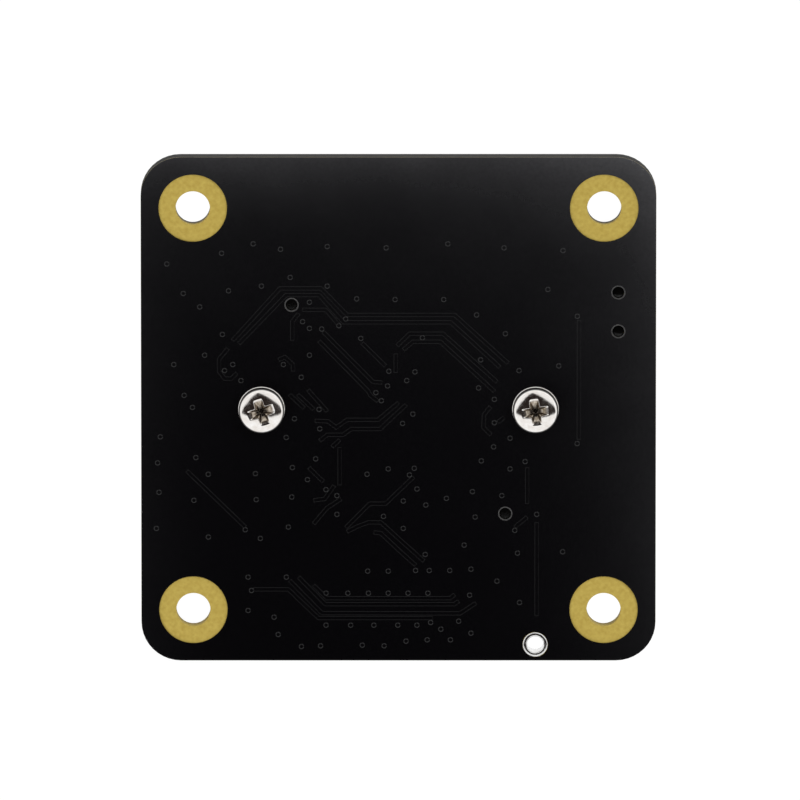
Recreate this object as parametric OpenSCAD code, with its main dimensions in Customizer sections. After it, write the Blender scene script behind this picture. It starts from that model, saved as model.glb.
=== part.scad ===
// Board camera module: a square circuit board with an M12 lens in a holder on its front.
// It stands on the lens's front rim, so Z = 0 is that rim and the board's back faces up.
// X runs to the right and Y towards the top edge, as the board's back is read.

/* [Board] */
// Width of the board
board_w = 37.6; // [37:0.1:50]
// Height of the board, from its bottom edge to its top edge
board_h = 37.6; // [37:0.1:50]
// Thickness of the board
board_t = 1.2; // [0.8:0.1:2]
// Radius of the board's corners
board_corner_r = 2.9; // [0.5:0.1:3.5]
// Distance from a corner mounting hole to each of the two nearest edges
mount_inset = 3.8; // [3:0.1:4.5]
// Diameter of the corner mounting holes
mount_hole_d = 2.5; // [2:0.1:3.2]
// Diameter of the bare laminate ring round each mounting hole
bare_ring_d = 5; // [4:0.1:5.8]
// Depth of that ring below the solder mask
bare_ring_depth = 0.06; // [0.02:0.01:0.1]

/* [Plated hole] */
// Distance of the plated hole from the centre line
plated_x = 10; // [8:0.1:11]
// Distance of the plated hole from the bottom edge
plated_inset = 1.2; // [1:0.1:2]
// Bore of the plated hole
plated_bore_d = 1.2; // [0.8:0.1:1.4]
// Wall of the barrel, copper and tin together
plated_wall = 0.2; // [0.17:0.01:0.25]
// Width of the pad round the barrel
plated_pad_w = 0.1; // [0.05:0.01:0.2]
// Height of the pad above the board's face
plated_pad_t = 0.06; // [0.04:0.01:0.1]

/* [Lens holder] */
// Side of the holder's square base
holder_w = 18; // [15:0.1:21.6]
// Height of the holder in front of the board
holder_h = 10.5; // [9.5:0.1:12.6]
// Height of the square base
holder_base_h = 4.8; // [4.4:0.1:5.5]
// Radius of the base's corners
holder_corner_r = 1.2; // [0.5:0.1:2]
// Wall round the square hollow over the sensor
holder_wall = 2.5; // [2:0.1:2.6]
// Gap between the back of the barrel and the ledge under it
barrel_gap = 0.4; // [0.2:0.1:0.8]
// Thickness of the ledge that carries the infrared filter
ledge_t = 0.4; // [0.3:0.1:0.6]
// Opening through the ledge
ledge_hole_d = 8.5; // [6:0.1:9]
// Wall of the round collar, outside the thread
collar_wall = 1.35; // [1:0.05:2]
// How far the screw ears' centres stand out from the base
ear_reach = 1; // [0.5:0.1:2]
// Width of each screw ear
ear_w = 4.8; // [4:0.1:6]
// Thickness of each screw ear
ear_t = 3.2; // [2.6:0.1:4]
// Distance of each locating peg from the base's two nearest sides
peg_inset = 1.2; // [1:0.1:2]
// Diameter of the holder's locating pegs
peg_d = 0.8; // [0.7:0.01:1.2]
// How far the ends of all locating pegs lie below the board's back
peg_end_gap = 0.15; // [0.05:0.05:0.4]

/* [Holder screws] */
// Thread diameter of the screws
screw_d = 2; // [1.6:0.1:2.4]
// Length of the screws under the head
screw_len = 4; // [3.4:0.1:4.8]
// Diameter of the pan head
screw_head_d = 3.4; // [3:0.1:4]
// Height of the pan head
screw_head_h = 1.2; // [0.9:0.1:1.5]
// Height of the upright band under the head's dome
screw_band_h = 0.45; // [0.3:0.05:0.6]
// Span of the cross recess
recess_span = 2.3; // [1.8:0.1:2.5]
// Width of each arm of the recess
recess_arm_w = 0.6; // [0.4:0.05:0.7]
// Depth of the recess
recess_depth = 0.75; // [0.5:0.05:0.9]

/* [Lens] */
// Length of the lens barrel
lens_len = 16.5; // [15.5:0.1:20]
// Distance from the back of the barrel to the board
lens_to_board = 4; // [3.4:0.1:4.8]
// Outside diameter of the fine thread
thread_d = 12; // [11.8:0.1:14.4]
// How far the barrel's head stands out beyond the thread
lens_head_rim = 0.9; // [0.5:0.1:2]
// Length of the barrel's head
lens_head_len = 4.6; // [4.3:0.1:5.5]
// Wall of the head round the front glass
front_wall = 1.3; // [1:0.1:1.6]
// Depth of that bore's shoulder
front_shoulder_z = 3.95; // [3.8:0.05:4.2]
// Wall of the barrel round the second glass
middle_wall = 1.3; // [1:0.1:1.7]
// Depth of the middle bore's shoulder
middle_shoulder_z = 8.9; // [8.6:0.1:9.1]
// Wall of the barrel round the doublet and the rear glass
rear_wall = 2; // [1.8:0.1:2.4]
// Thickness of the lip behind the rear glass
rear_lip_t = 0.9; // [0.6:0.1:1.2]
// Width of that lip, and of the seat in front of every glass
seat_w = 0.8; // [0.6:0.1:1]
// Width of the lock ring, from its thread to its rim
lock_ring_w = 1.5; // [1.2:0.1:2.2]
// Thickness of the lock ring
lock_ring_t = 1.8; // [1.2:0.1:2.4]
// Number of finger notches round the lock ring
lock_ring_notches = 20; // [12:1:30]

/* [Sensor] */
// Width of the sensor's ceramic package
sensor_w = 9; // [7.5:0.1:10.8]
// Height of the sensor's ceramic package
sensor_h = 8.2; // [7:0.1:9.8]
// Thickness of the package
sensor_t = 0.9; // [0.8:0.05:1.1]
// Thickness of the package's floor and rim step
sensor_floor_t = 0.35; // [0.3:0.05:0.45]
// Width of the package's rim
sensor_rim_w = 0.7; // [0.5:0.1:1]
// Thickness of the glass over the sensor
cover_glass_t = 0.4; // [0.3:0.05:0.5]
// Side of the square infrared filter
filter_w = 9.6; // [9.2:0.1:9.8]
// Thickness of the infrared filter
filter_t = 0.5; // [0.3:0.05:0.7]

/* [Connector] */
// Number of ways
ways = 4; // [2:1:5]
// Spacing of the ways
way_pitch = 1.25; // [1:0.05:1.5]
// Distance of the connector's centre line above the board's centre
connector_y = 7.27; // [6:0.01:8]
// Distance of the mating face from the right edge
connector_inset = 0.3; // [0:0.1:1]
// Depth of the housing, from the mating face inwards
connector_depth = 4.3; // [3.8:0.1:5.2]
// Height of the housing
connector_height = 3.1; // [2.8:0.1:3.8]
// Wall of the housing
connector_wall = 0.55; // [0.4:0.05:0.7]
// Width that the housing has at each end, beyond its outer contacts
connector_end = 1.7; // [1.5:0.1:2.2]
// Distance of the locating pegs from the right edge
connector_peg_inset = 2.76; // [2.5:0.01:3]
// Spacing of the connector's two locating pegs
connector_peg_pitch = 2.9; // [2.4:0.1:3.5]

/* [Chips] */
// Side of the square video controller
controller_w = 6; // [5:0.1:6.2]
// Thickness of the video controller
controller_t = 0.85; // [0.6:0.05:1.1]
// Length of the flash memory's body
flash_w = 4.9; // [4:0.1:5]
// Width of the flash memory's body
flash_h = 3.9; // [3:0.1:4]
// Thickness of the flash memory's body
flash_t = 1.4; // [1:0.1:1.8]
// Span over the tips of the flash memory's leads
flash_span = 6; // [5.5:0.1:6.2]
// Side of the power inductor
inductor_w = 4; // [3:0.1:4.6]
// Height of the power inductor
inductor_h = 1.8; // [1.2:0.1:2.4]

/* [Clearances] */
// Radial clearance of the barrel, screws and rings in their threads
thread_gap = 0.03; // [0.02:0.01:0.1]
// Radial clearance of the screws in the board
screw_gap = 0.1; // [0.05:0.05:0.2]
// Radial clearance of all locating pegs in the board
peg_gap = 0.04; // [0.02:0.01:0.2]
// Radial clearance of the glasses and rings in their bores
glass_gap = 0.05; // [0.02:0.01:0.1]
// Gap between a chip's body and the board
standoff = 0.1; // [0.05:0.05:0.2]
// Small gap kept between glued parts at their sides
glue_gap = 0.1; // [0.05:0.05:0.2]

/* [Hidden] */
$fn = 64;
eps = 0.01;

// Heights of the board's two faces above the lens's front rim
front_z = lens_len + lens_to_board;
back_z = front_z + board_t;

// Places that several pieces share
mount_x = board_w/2 - mount_inset;
mount_y = board_h/2 - mount_inset;
plated_y = plated_inset - board_h/2;
screw_x = holder_w/2 + ear_reach;
holder_peg = holder_w/2 - peg_inset;
connector_face_x = board_w/2 - connector_inset;
connector_peg_x = board_w/2 - connector_peg_inset;
connector_back_x = connector_face_x - connector_depth;
connector_len = (ways - 1)*way_pitch + 2*connector_end;
connector_back = 1.1;
pin_w = 0.32;
pin_gap = 0.02;
pin_z = (connector_height - pin_w)/2;
peg_len = board_t - peg_end_gap;
row_y = board_h/2 - 4.6;
column_x = board_w/2 - 3.4;

// Place of each contact along the connector, from its centre line
function way_y(i) = (i - (ways - 1)/2)*way_pitch;

// The holder's hollow and the lens's diameters
hollow_w = holder_w - 2*holder_wall;
hollow_depth = lens_to_board - barrel_gap - ledge_t;
lens_head_d = thread_d + 2*lens_head_rim;
lock_ring_d = thread_d + 2*lock_ring_w;
front_bore_d = lens_head_d - 2*front_wall;
middle_bore_d = thread_d - 2*middle_wall;
rear_bore_d = thread_d - 2*rear_wall;
rear_hole_d = rear_bore_d - 2*seat_w;

// Diameters of holes that take a peg, a screw or the barrel
peg_hole_d = peg_d + 2*peg_gap;
screw_hole_d = screw_d + 2*screw_gap;
pilot_d = screw_d + 2*thread_gap;
thread_bore_d = thread_d + 2*thread_gap;
plated_hole_d = plated_bore_d + 2*plated_wall;

// The stack of glasses in the barrel, each edge by its distance from the front rim
retainer_z = 0.35;
retainer_t = 1;
front_glass_z = retainer_z + retainer_t;
second_back_z = front_shoulder_z + 2.45;
stop_z = middle_shoulder_z + 0.3;
stop_t = 0.4;
crown_t = 1.8;
flint_t = 1.2;
rear_glass_t = 1.2;
crown_z = stop_z + stop_t;
flint_z = crown_z + crown_t;
rear_spacer_z = flint_z + flint_t;
rear_lip_z = lens_len - rear_lip_t;
rear_glass_z = rear_lip_z - rear_glass_t;

// Small surface-mount parts on the board's front: [x, y, turn]
capacitor_size = [1.6, 0.8, 0.8];
capacitors = [
    [-12, row_y + 1.6, 90], [-12, row_y - 1.4, 90], [-3.6, row_y + 2.2, 0], [-3.6, row_y - 2.4, 0],
    [4.2, row_y + 2.4, 0], [11.6, row_y + 1.2, 90], [11.6, row_y - 1.4, 90],
    [-11, -row_y + 1.8, 90], [-11, -row_y - 1.2, 90], [8.6, -row_y + 1.6, 90],
    [-column_x - 1.4, 4.6, 0], [-column_x - 1.4, 6.2, 0], [-column_x + 1.8, 4.6, 0],
    [-column_x - 1.4, -4.4, 0], [-column_x + 1.8, -9.6, 0], [column_x + 1.2, -4.6, 90],
    [column_x + 1.2, -7.2, 90], [column_x - 2, -10.2, 0]
];
resistor_size = [1, 0.5, 0.4];
resistors = [
    [-0.4, row_y + 2.4, 0], [-0.4, row_y + 1.2, 0], [-0.4, row_y - 1.6, 0], [-0.4, row_y - 2.6, 0],
    [10.2, -row_y + 1.8, 90], [10.2, -row_y - 0.2, 90], [11.6, -row_y + 1.8, 90],
    [-column_x - 1.4, 7.8, 0], [-column_x - 1.4, 9, 0], [-column_x + 1.8, 6.2, 0],
    [-column_x - 1.6, -5.8, 0], [-column_x - 1.6, -7, 0], [-column_x - 1.6, -8.2, 0],
    [-column_x + 1.8, -4.4, 0], [column_x - 1, -4.6, 90], [column_x - 1, -6.6, 90]
];
bead_size = [1.6, 0.8, 0.6];
beads = [[column_x, 1, 90], [column_x + 1.4, 1, 90]];
bulk_size = [3.5, 2.8, 1.9];
bulks = [[2.6, row_y - 0.6, 90], [-column_x - 0.4, 0, 90]];
regulator_places = [[6, row_y + 0.2, 0], [9, row_y + 0.2, 0], [-column_x + 1.9, -7, 90]];
controller_place = [-3, -row_y];
flash_place = [4.7, -row_y];
crystal_place = [-8.3, -row_y];
inductor_place = [-8, row_y];
esd_place = [connector_back_x - 2.4, connector_y];
led_place = [-column_x - 1.4, 10.4];

// Sizes of the three-lead and five-lead regulator package and of gull-wing leads
regulator_body = [2.9, 1.6, 1.1];
regulator_span = 2.8;
regulator_pitch = 0.95;
lead_w = 0.4;
lead_t = 0.15;
lead_foot = 0.4;
flash_pitch = 1.27;

// ---- Shared shapes ----

// Stands its children on the board's front face, at x and y, turned about the lens axis
module on_front(x = 0, y = 0, turn = 0) {
    translate([x, y, front_z]) mirror([0, 0, 1]) rotate([0, 0, turn]) children();
}

// A box that is centred in X and Y and stands on Z = 0
module block(size) {
    translate([-size[0]/2, -size[1]/2, 0]) cube(size);
}

// A plate with round corners, centred in X and Y, standing on Z = 0
module round_plate(w, h, r, t) {
    block([w - 2*r, h, t]);
    block([w, h - 2*r, t]);
    for (sx = [-1, 1], sy = [-1, 1])
        translate([sx*(w/2 - r), sy*(h/2 - r), 0]) cylinder(r = r, h = t);
}

// A ring that is centred on Z and stands on z
module ring(z, outer_d, inner_d, t) {
    translate([0, 0, z]) difference() {
        cylinder(d = outer_d, h = t);
        translate([0, 0, -1]) cylinder(d = inner_d, h = t + 2);
    }
}

// A ball's cap of height sag, which stands out of Z = 0 over a circle of diameter d
module cap(d, sag) {
    ball_r = (pow(d/2, 2) + pow(sag, 2))/(2*sag);
    intersection() {
        translate([0, 0, sag - ball_r]) sphere(r = ball_r, $fn = 96);
        cylinder(d = d + eps, h = ball_r);
    }
}

// A round glass from z0 to z1. A face with a sag above 0 bulges and one below 0 is hollow
module glass(d, z0, z1, front_sag, rear_sag, rear_seat = seat_w) {
    front_d = d - 2*seat_w;
    rear_d = d - 2*rear_seat;
    difference() {
        union() {
            translate([0, 0, z0]) cylinder(d = d, h = z1 - z0);
            if (front_sag > 0) translate([0, 0, z0]) mirror([0, 0, 1]) cap(front_d, front_sag);
            if (rear_sag > 0) translate([0, 0, z1]) cap(rear_d, rear_sag);
        }
        if (front_sag < 0) translate([0, 0, z0]) cap(front_d, -front_sag);
        if (rear_sag < 0) translate([0, 0, z1]) mirror([0, 0, 1]) cap(rear_d, -rear_sag);
    }
}

// A row of gull-wing leads on one side of a chip: body face at y = 0, feet towards +Y
module lead_row(count, pitch, reach, exit_z) {
    profile = [
        [0, exit_z], [reach - lead_foot - lead_t/2, exit_z], [reach - lead_foot, 0], [reach, 0],
        [reach, lead_t], [reach - lead_foot + lead_t/2, lead_t],
        [reach - lead_foot, exit_z + lead_t], [0, exit_z + lead_t]
    ];
    for (i = [0 : count - 1])
        translate([(i - (count - 1)/2)*pitch - lead_w/2, 0, 0])
            rotate([90, 0, 90]) linear_extrude(lead_w) polygon(profile);
}

// A moulded chip body with a low slope round its upper edge and a pin-one dimple
module chip_body(size, slope, dimple_d) {
    w = size[0];
    h = size[1];
    t = size[2];
    difference() {
        intersection() {
            block(size);
            rotate([90, 0, 0]) linear_extrude(h, center = true)
                polygon([[-w/2, 0], [w/2, 0], [w/2, t/2], [w/2 - slope, t], [slope - w/2, t], [-w/2, t/2]]);
            rotate([90, 0, 90]) linear_extrude(w, center = true)
                polygon([[-h/2, 0], [h/2, 0], [h/2, t/2], [h/2 - slope, t], [slope - h/2, t], [-h/2, t/2]]);
        }
        if (dimple_d > 0)
            translate([dimple_d + slope - w/2, dimple_d + slope - h/2, t - 0.05])
                cylinder(d = dimple_d, h = 1, $fn = 24);
    }
}

// ---- Board ----

// Bored laminate: mounting, screw and peg holes, with a bare ring round each mounting hole
module circuit_board() {
    color("#101012") translate([0, 0, front_z]) difference() {
        round_plate(board_w, board_h, board_corner_r, board_t);
        for (sx = [-1, 1], sy = [-1, 1]) translate([sx*mount_x, sy*mount_y, 0]) {
            translate([0, 0, -1]) cylinder(d = mount_hole_d, h = board_t + 2);
            translate([0, 0, board_t - bare_ring_depth]) cylinder(d = bare_ring_d, h = 1);
            translate([0, 0, bare_ring_depth - 1]) cylinder(d = bare_ring_d, h = 1);
        }
        for (s = [-1, 1]) {
            translate([s*screw_x, 0, -1]) cylinder(d = screw_hole_d, h = board_t + 2);
            translate([-s*holder_peg, s*holder_peg, -1]) cylinder(d = peg_hole_d, h = board_t + 2);
            translate([connector_peg_x, connector_y + s*connector_peg_pitch/2, -1])
                cylinder(d = peg_hole_d, h = board_t + 2);
        }
        translate([plated_x, plated_y, -1]) cylinder(d = plated_hole_d, h = board_t + 2);
    }
}

// Tinned barrel with a pad on each face of the board
module plated_hole() {
    pad_d = plated_hole_d + 2*plated_pad_w;
    color("#c9cacc") translate([plated_x, plated_y, 0]) {
        ring(front_z - plated_pad_t, plated_hole_d, plated_bore_d, board_t + 2*plated_pad_t);
        ring(front_z - plated_pad_t, pad_d, plated_bore_d, plated_pad_t);
        ring(back_z, pad_d, plated_bore_d, plated_pad_t);
    }
}

// ---- Lens holder and its fasteners ----

// Moulded holder: square base with two ears, round collar, filter ledge and two pegs
module lens_holder() {
    thread_z = hollow_depth + ledge_t;
    color("#19191b") on_front() difference() {
        union() {
            round_plate(holder_w, holder_w, holder_corner_r, holder_base_h);
            cylinder(d = thread_bore_d + 2*collar_wall, h = holder_h);
            for (s = [-1, 1]) {
                translate([s*screw_x, 0, 0]) cylinder(d = ear_w, h = ear_t);
                translate([s*(screw_x + holder_w/2 - 1)/2, 0, 0])
                    block([ear_reach + 1, ear_w, ear_t]);
                translate([-s*holder_peg, s*holder_peg, -peg_len])
                    cylinder(d = peg_d, h = peg_len + 1);
            }
        }
        translate([0, 0, -eps]) block([hollow_w, hollow_w, hollow_depth + eps]);
        cylinder(d = ledge_hole_d, h = thread_z + eps);
        translate([0, 0, thread_z]) cylinder(d = thread_bore_d, h = holder_h);
        for (s = [-1, 1]) translate([s*screw_x, 0, -1]) cylinder(d = pilot_d, h = ear_t + 2);
    }
}

// Two pan-head screws, entered from the board's back
module holder_screws() {
    dome_h = screw_head_h - screw_band_h;
    top_d = 0.62*screw_head_d;
    color("#d6d2cc") for (s = [-1, 1]) translate([s*screw_x, 0, back_z]) difference() {
        union() {
            translate([0, 0, -screw_len]) cylinder(d = screw_d, h = screw_len + eps);
            cylinder(d = screw_head_d, h = screw_band_h);
            translate([0, 0, screw_band_h]) intersection() {
                cylinder(d = screw_head_d, h = dome_h);
                translate([0, 0, dome_h - screw_head_d]) sphere(r = screw_head_d, $fn = 96);
                cylinder(d1 = screw_head_d, d2 = top_d, h = dome_h + 0.2);
            }
        }
        rotate([0, 0, 15 + 45*(s + 1)/2]) translate([0, 0, screw_head_h - recess_depth]) {
            block([recess_span, recess_arm_w, 1]);
            block([recess_arm_w, recess_span, 1]);
        }
    }
}

// Knurled nut that jams the barrel against the holder's collar
module lock_ring() {
    ring_z = front_z - holder_h - lock_ring_t;
    notch_d = 1.1;
    color("#1c1c1e") translate([0, 0, ring_z]) difference() {
        ring(0, lock_ring_d, thread_bore_d, lock_ring_t);
        for (i = [0 : lock_ring_notches - 1])
            rotate([0, 0, i*360/lock_ring_notches])
                translate([lock_ring_d/2 + notch_d/4, 0, -1])
                    cylinder(d = notch_d, h = lock_ring_t + 2, $fn = 24);
    }
}

// ---- Lens ----

// Turned barrel: wide head at the front, fine thread behind it, three stepped bores inside
module lens_barrel() {
    head_r = lens_head_d/2;
    thread_r = thread_d/2;
    chamfer = 0.4;
    color("#161618") rotate_extrude($fn = 128) polygon([
        [front_bore_d/2, 0], [head_r - chamfer, 0], [head_r, chamfer],
        [head_r, lens_head_len - chamfer], [head_r - chamfer, lens_head_len],
        [thread_r, lens_head_len], [thread_r, lens_len - chamfer],
        [thread_r - chamfer, lens_len], [rear_hole_d/2, lens_len], [rear_hole_d/2, rear_lip_z],
        [rear_bore_d/2, rear_lip_z], [rear_bore_d/2, middle_shoulder_z],
        [middle_bore_d/2, middle_shoulder_z], [middle_bore_d/2, front_shoulder_z],
        [front_bore_d/2, front_shoulder_z]
    ]);
}

// Threaded ring over the front glass, with two notches for a spanner
module retaining_ring() {
    outer_d = front_bore_d - 2*thread_gap;
    color("#121214") difference() {
        ring(retainer_z, outer_d, front_bore_d - 2*seat_w, retainer_t);
        translate([0, 0, retainer_z - 1]) block([outer_d + 2, 0.7, 1.4]);
    }
}

// Front glass: a negative meniscus whose flat back also bears on the second glass
module front_element() {
    outer_d = front_bore_d - 2*glass_gap;
    back_seat = (outer_d - middle_bore_d)/2 + seat_w;
    color("#4a5a78", 0.5)
        glass(outer_d, front_glass_z, front_shoulder_z, 0.85, -1.6, back_seat);
}

// Second glass: a positive meniscus
module second_element() {
    color("#4a6a68", 0.5)
        glass(middle_bore_d - 2*glass_gap, front_shoulder_z, second_back_z, -0.9, 0.7);
}

// Black tube between the second glass and the stop, with a nose that enters the rear bore
module front_spacer() {
    nose_len = 0.4;
    outer_d = middle_bore_d - 2*glass_gap;
    nose_d = rear_bore_d - 2*glass_gap;
    color("#141414") {
        ring(second_back_z, outer_d, outer_d - 2*seat_w, middle_shoulder_z - second_back_z);
        ring(middle_shoulder_z - nose_len, nose_d, nose_d - 1.4, stop_z - middle_shoulder_z + nose_len);
    }
}

// Thin disc with the lens's stop opening
module aperture_stop() {
    color("#141414") ring(stop_z, rear_bore_d - 2*glass_gap, 3.4, stop_t);
}

// Front half of the cemented pair
module doublet_crown() {
    color("#5a6a78", 0.5) glass(rear_bore_d - 2*glass_gap, crown_z, flint_z, 0, -0.65);
}

// Rear half of the cemented pair, filling the front half's hollow
module doublet_flint() {
    color("#6a6a78", 0.5) glass(rear_bore_d - 2*glass_gap, flint_z, rear_spacer_z, 0.65, -0.4);
}

// Black tube between the cemented pair and the rear glass
module rear_spacer() {
    outer_d = rear_bore_d - 2*glass_gap;
    color("#141414") ring(
        rear_spacer_z, outer_d, outer_d - 2*seat_w, rear_glass_z - rear_spacer_z
    );
}

// Rear glass, seated on the barrel's lip
module rear_element() {
    color("#5a6a78", 0.5) glass(rear_bore_d - 2*glass_gap, rear_glass_z, rear_lip_z, 0.4, 0.5);
}

// Infrared-cut glass, glued under the holder's ledge
module ir_filter() {
    color("#6fa8a0", 0.5) on_front() translate([0, 0, hollow_depth - filter_t])
        block([filter_w, filter_w, filter_t]);
}

// ---- Image sensor ----

// Ceramic package: a floor for the die and a stepped rim for the glass
module image_sensor() {
    die_w = sensor_w - 2*sensor_rim_w;
    die_h = sensor_h - 2*sensor_rim_w;
    color("#3b3a42") on_front() difference() {
        block([sensor_w, sensor_h, sensor_t]);
        translate([0, 0, sensor_floor_t]) block([die_w, die_h, sensor_t]);
    }
}

// Silicon die on the package's floor
module sensor_die() {
    die_side = sensor_rim_w + 2*glue_gap;
    color("#52606a") on_front() translate([0, 0, sensor_floor_t])
        block([sensor_w - 2*die_side, sensor_h - 2*die_side, 0.3]);
}

// Clear glass on the package's rim
module sensor_cover_glass() {
    color("#a8c0c8", 0.4) on_front() translate([0, 0, sensor_t])
        block([sensor_w - 2*glue_gap, sensor_h - 2*glue_gap, cover_glass_t]);
}

// ---- Chips ----

// Square no-lead controller that decodes the sensor's picture
module video_controller() {
    color("#1b1b1d") on_front(controller_place[0], controller_place[1])
        chip_body([controller_w, controller_w, controller_t], 0.05, 0.5);
}

// Body of the eight-lead flash memory
module flash_memory() {
    color("#1b1b1d") on_front(flash_place[0], flash_place[1]) translate([0, 0, standoff])
        chip_body([flash_w, flash_h, flash_t], 0.15, 0.6);
}

// Eight leads of the flash memory
module flash_leads() {
    reach = (flash_span - flash_h)/2;
    color("#c9cacc") on_front(flash_place[0], flash_place[1]) for (turn = [0, 180])
        rotate([0, 0, turn]) translate([0, flash_h/2, 0])
            lead_row(4, flash_pitch, reach, standoff + flash_t/2 - lead_t);
}

// Bodies of the five-lead voltage regulators
module regulators() {
    color("#1b1b1d") for (p = regulator_places) on_front(p[0], p[1], p[2])
        translate([0, 0, standoff]) chip_body(regulator_body, 0.12, 0.35);
}

// Leads of the regulators: three along one side and two along the other
module regulator_leads() {
    reach = (regulator_span - regulator_body[1])/2;
    exit_z = standoff + regulator_body[2]/2 - lead_t;
    color("#c9cacc") for (p = regulator_places) on_front(p[0], p[1], p[2]) {
        translate([0, regulator_body[1]/2, 0]) lead_row(3, regulator_pitch, reach, exit_z);
        rotate([0, 0, 180]) translate([0, regulator_body[1]/2, 0])
            lead_row(2, 2*regulator_pitch, reach, exit_z);
    }
}

// Ceramic base of the clock crystal
module crystal_base() {
    color("#8d8a80") on_front(crystal_place[0], crystal_place[1]) block([3.2, 2.5, 0.5]);
}

// Metal lid of the clock crystal
module crystal_lid() {
    color("#c8c6c0") on_front(crystal_place[0], crystal_place[1]) translate([0, 0, 0.5])
        round_plate(2.8, 2.1, 0.3, 0.25);
}

// Square ferrite shield of the power inductor
module inductor_shield() {
    bore_d = inductor_w - 0.8;
    color("#3a3a3c") on_front(inductor_place[0], inductor_place[1]) difference() {
        round_plate(inductor_w, inductor_w, 0.5, inductor_h);
        translate([0, 0, -1]) cylinder(d = bore_d, h = inductor_h + 2);
    }
}

// Ferrite spool inside the shield
module inductor_drum() {
    flange_d = inductor_w - 1;
    color("#47474a") on_front(inductor_place[0], inductor_place[1]) {
        cylinder(d = flange_d, h = 0.35);
        cylinder(d = 0.5*flange_d, h = inductor_h - 0.1);
        translate([0, 0, inductor_h - 0.45]) cylinder(d = flange_d, h = 0.35);
    }
}

// Copper winding on the spool
module inductor_winding() {
    flange_d = inductor_w - 1;
    color("#a5622c") on_front(inductor_place[0], inductor_place[1])
        ring(0.35, flange_d - 0.1, 0.5*flange_d, inductor_h - 0.8);
}

// Moulded bulk capacitors
module bulk_capacitors() {
    color("#c08a2e") for (p = bulks) on_front(p[0], p[1], p[2]) chip_body(bulk_size, 0.12, 0);
}

// Ceramic capacitors
module ceramic_capacitors() {
    color("#b08d63") for (p = capacitors) on_front(p[0], p[1], p[2]) block(capacitor_size);
}

// Thick-film resistors
module chip_resistors() {
    color("#26262a") for (p = resistors) on_front(p[0], p[1], p[2]) block(resistor_size);
}

// Ferrite beads in the supply lines
module ferrite_beads() {
    color("#55534f") for (p = beads) on_front(p[0], p[1], p[2]) block(bead_size);
}

// Surge protector for the data lines
module esd_array() {
    color("#1b1b1d") on_front(esd_place[0], esd_place[1], 90)
        chip_body([2.5, 1, 0.55], 0.04, 0.25);
}

// Status light: a clear lens block on a pale base
module status_led() {
    color("#e8e0a8") on_front(led_place[0], led_place[1]) {
        block([1.6, 0.8, 0.3]);
        block([1.1, 0.8, 0.65]);
    }
}

// ---- Connector ----

// Side-entry housing, open towards the board's right edge, with two locating pegs
module connector_housing() {
    mouth_len = connector_len - 2*connector_wall;
    mouth_h = connector_height - 2*connector_wall;
    mouth_depth = connector_depth - connector_back;
    color("#1c1c1d") on_front(connector_face_x, connector_y) {
        difference() {
            translate([-connector_depth/2, 0, 0])
                block([connector_depth, connector_len, connector_height]);
            translate([-mouth_depth/2 + eps, 0, connector_wall])
                block([mouth_depth + 2*eps, mouth_len, mouth_h]);
            for (s = [-1, 1])
                translate([-mouth_depth/2 + eps, s*(mouth_len/2 - 1.1), connector_wall + 1])
                    block([mouth_depth + 2*eps, 0.5, connector_height]);
            for (i = [0 : ways - 1])
                translate([-connector_depth, way_y(i), pin_z - pin_gap])
                    block([3*connector_back, pin_w + 2*pin_gap, pin_w + 2*pin_gap]);
        }
        for (s = [-1, 1])
            translate([connector_peg_x - connector_face_x, s*connector_peg_pitch/2, -peg_len])
                cylinder(d = peg_d, h = peg_len + connector_wall/2);
    }
}

// Bent pins: a tail on the board behind the housing, a riser, and a blade inside the mouth
module connector_contacts() {
    tail = 1;
    blade = connector_depth - 0.8;
    color("#cdb26a") for (i = [0 : ways - 1])
        on_front(connector_back_x, connector_y + way_y(i)) {
            translate([-pin_w - tail/2, 0, 0]) block([tail, pin_w, pin_w]);
            translate([-pin_w/2, 0, 0]) block([pin_w, pin_w, pin_z + pin_w]);
            translate([blade/2 - pin_w/2, 0, pin_z]) block([blade + pin_w, pin_w, pin_w]);
        }
}

// Bent metal tabs that solder the housing's two ends to the board
module connector_tabs() {
    tab_w = 1.6;
    tab_t = 0.2;
    color("#c9cacc") for (s = [-1, 1])
        on_front(connector_peg_x, connector_y + s*connector_len/2) {
            translate([0, s*tab_t/2, 0]) block([tab_w, tab_t, 0.55*connector_height]);
            translate([0, s*0.5, 0]) block([tab_w, 1, tab_t]);
        }
}

circuit_board();
plated_hole();
lens_holder();
holder_screws();
lock_ring();
lens_barrel();
retaining_ring();
front_element();
second_element();
front_spacer();
aperture_stop();
doublet_crown();
doublet_flint();
rear_spacer();
rear_element();
ir_filter();
image_sensor();
sensor_die();
sensor_cover_glass();
video_controller();
flash_memory();
flash_leads();
regulators();
regulator_leads();
crystal_base();
crystal_lid();
inductor_shield();
inductor_drum();
inductor_winding();
bulk_capacitors();
ceramic_capacitors();
chip_resistors();
ferrite_beads();
esd_array();
status_led();
connector_housing();
connector_contacts();
connector_tabs();
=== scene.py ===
import math

import bmesh
import bpy
from mathutils import Matrix, Vector


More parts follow.
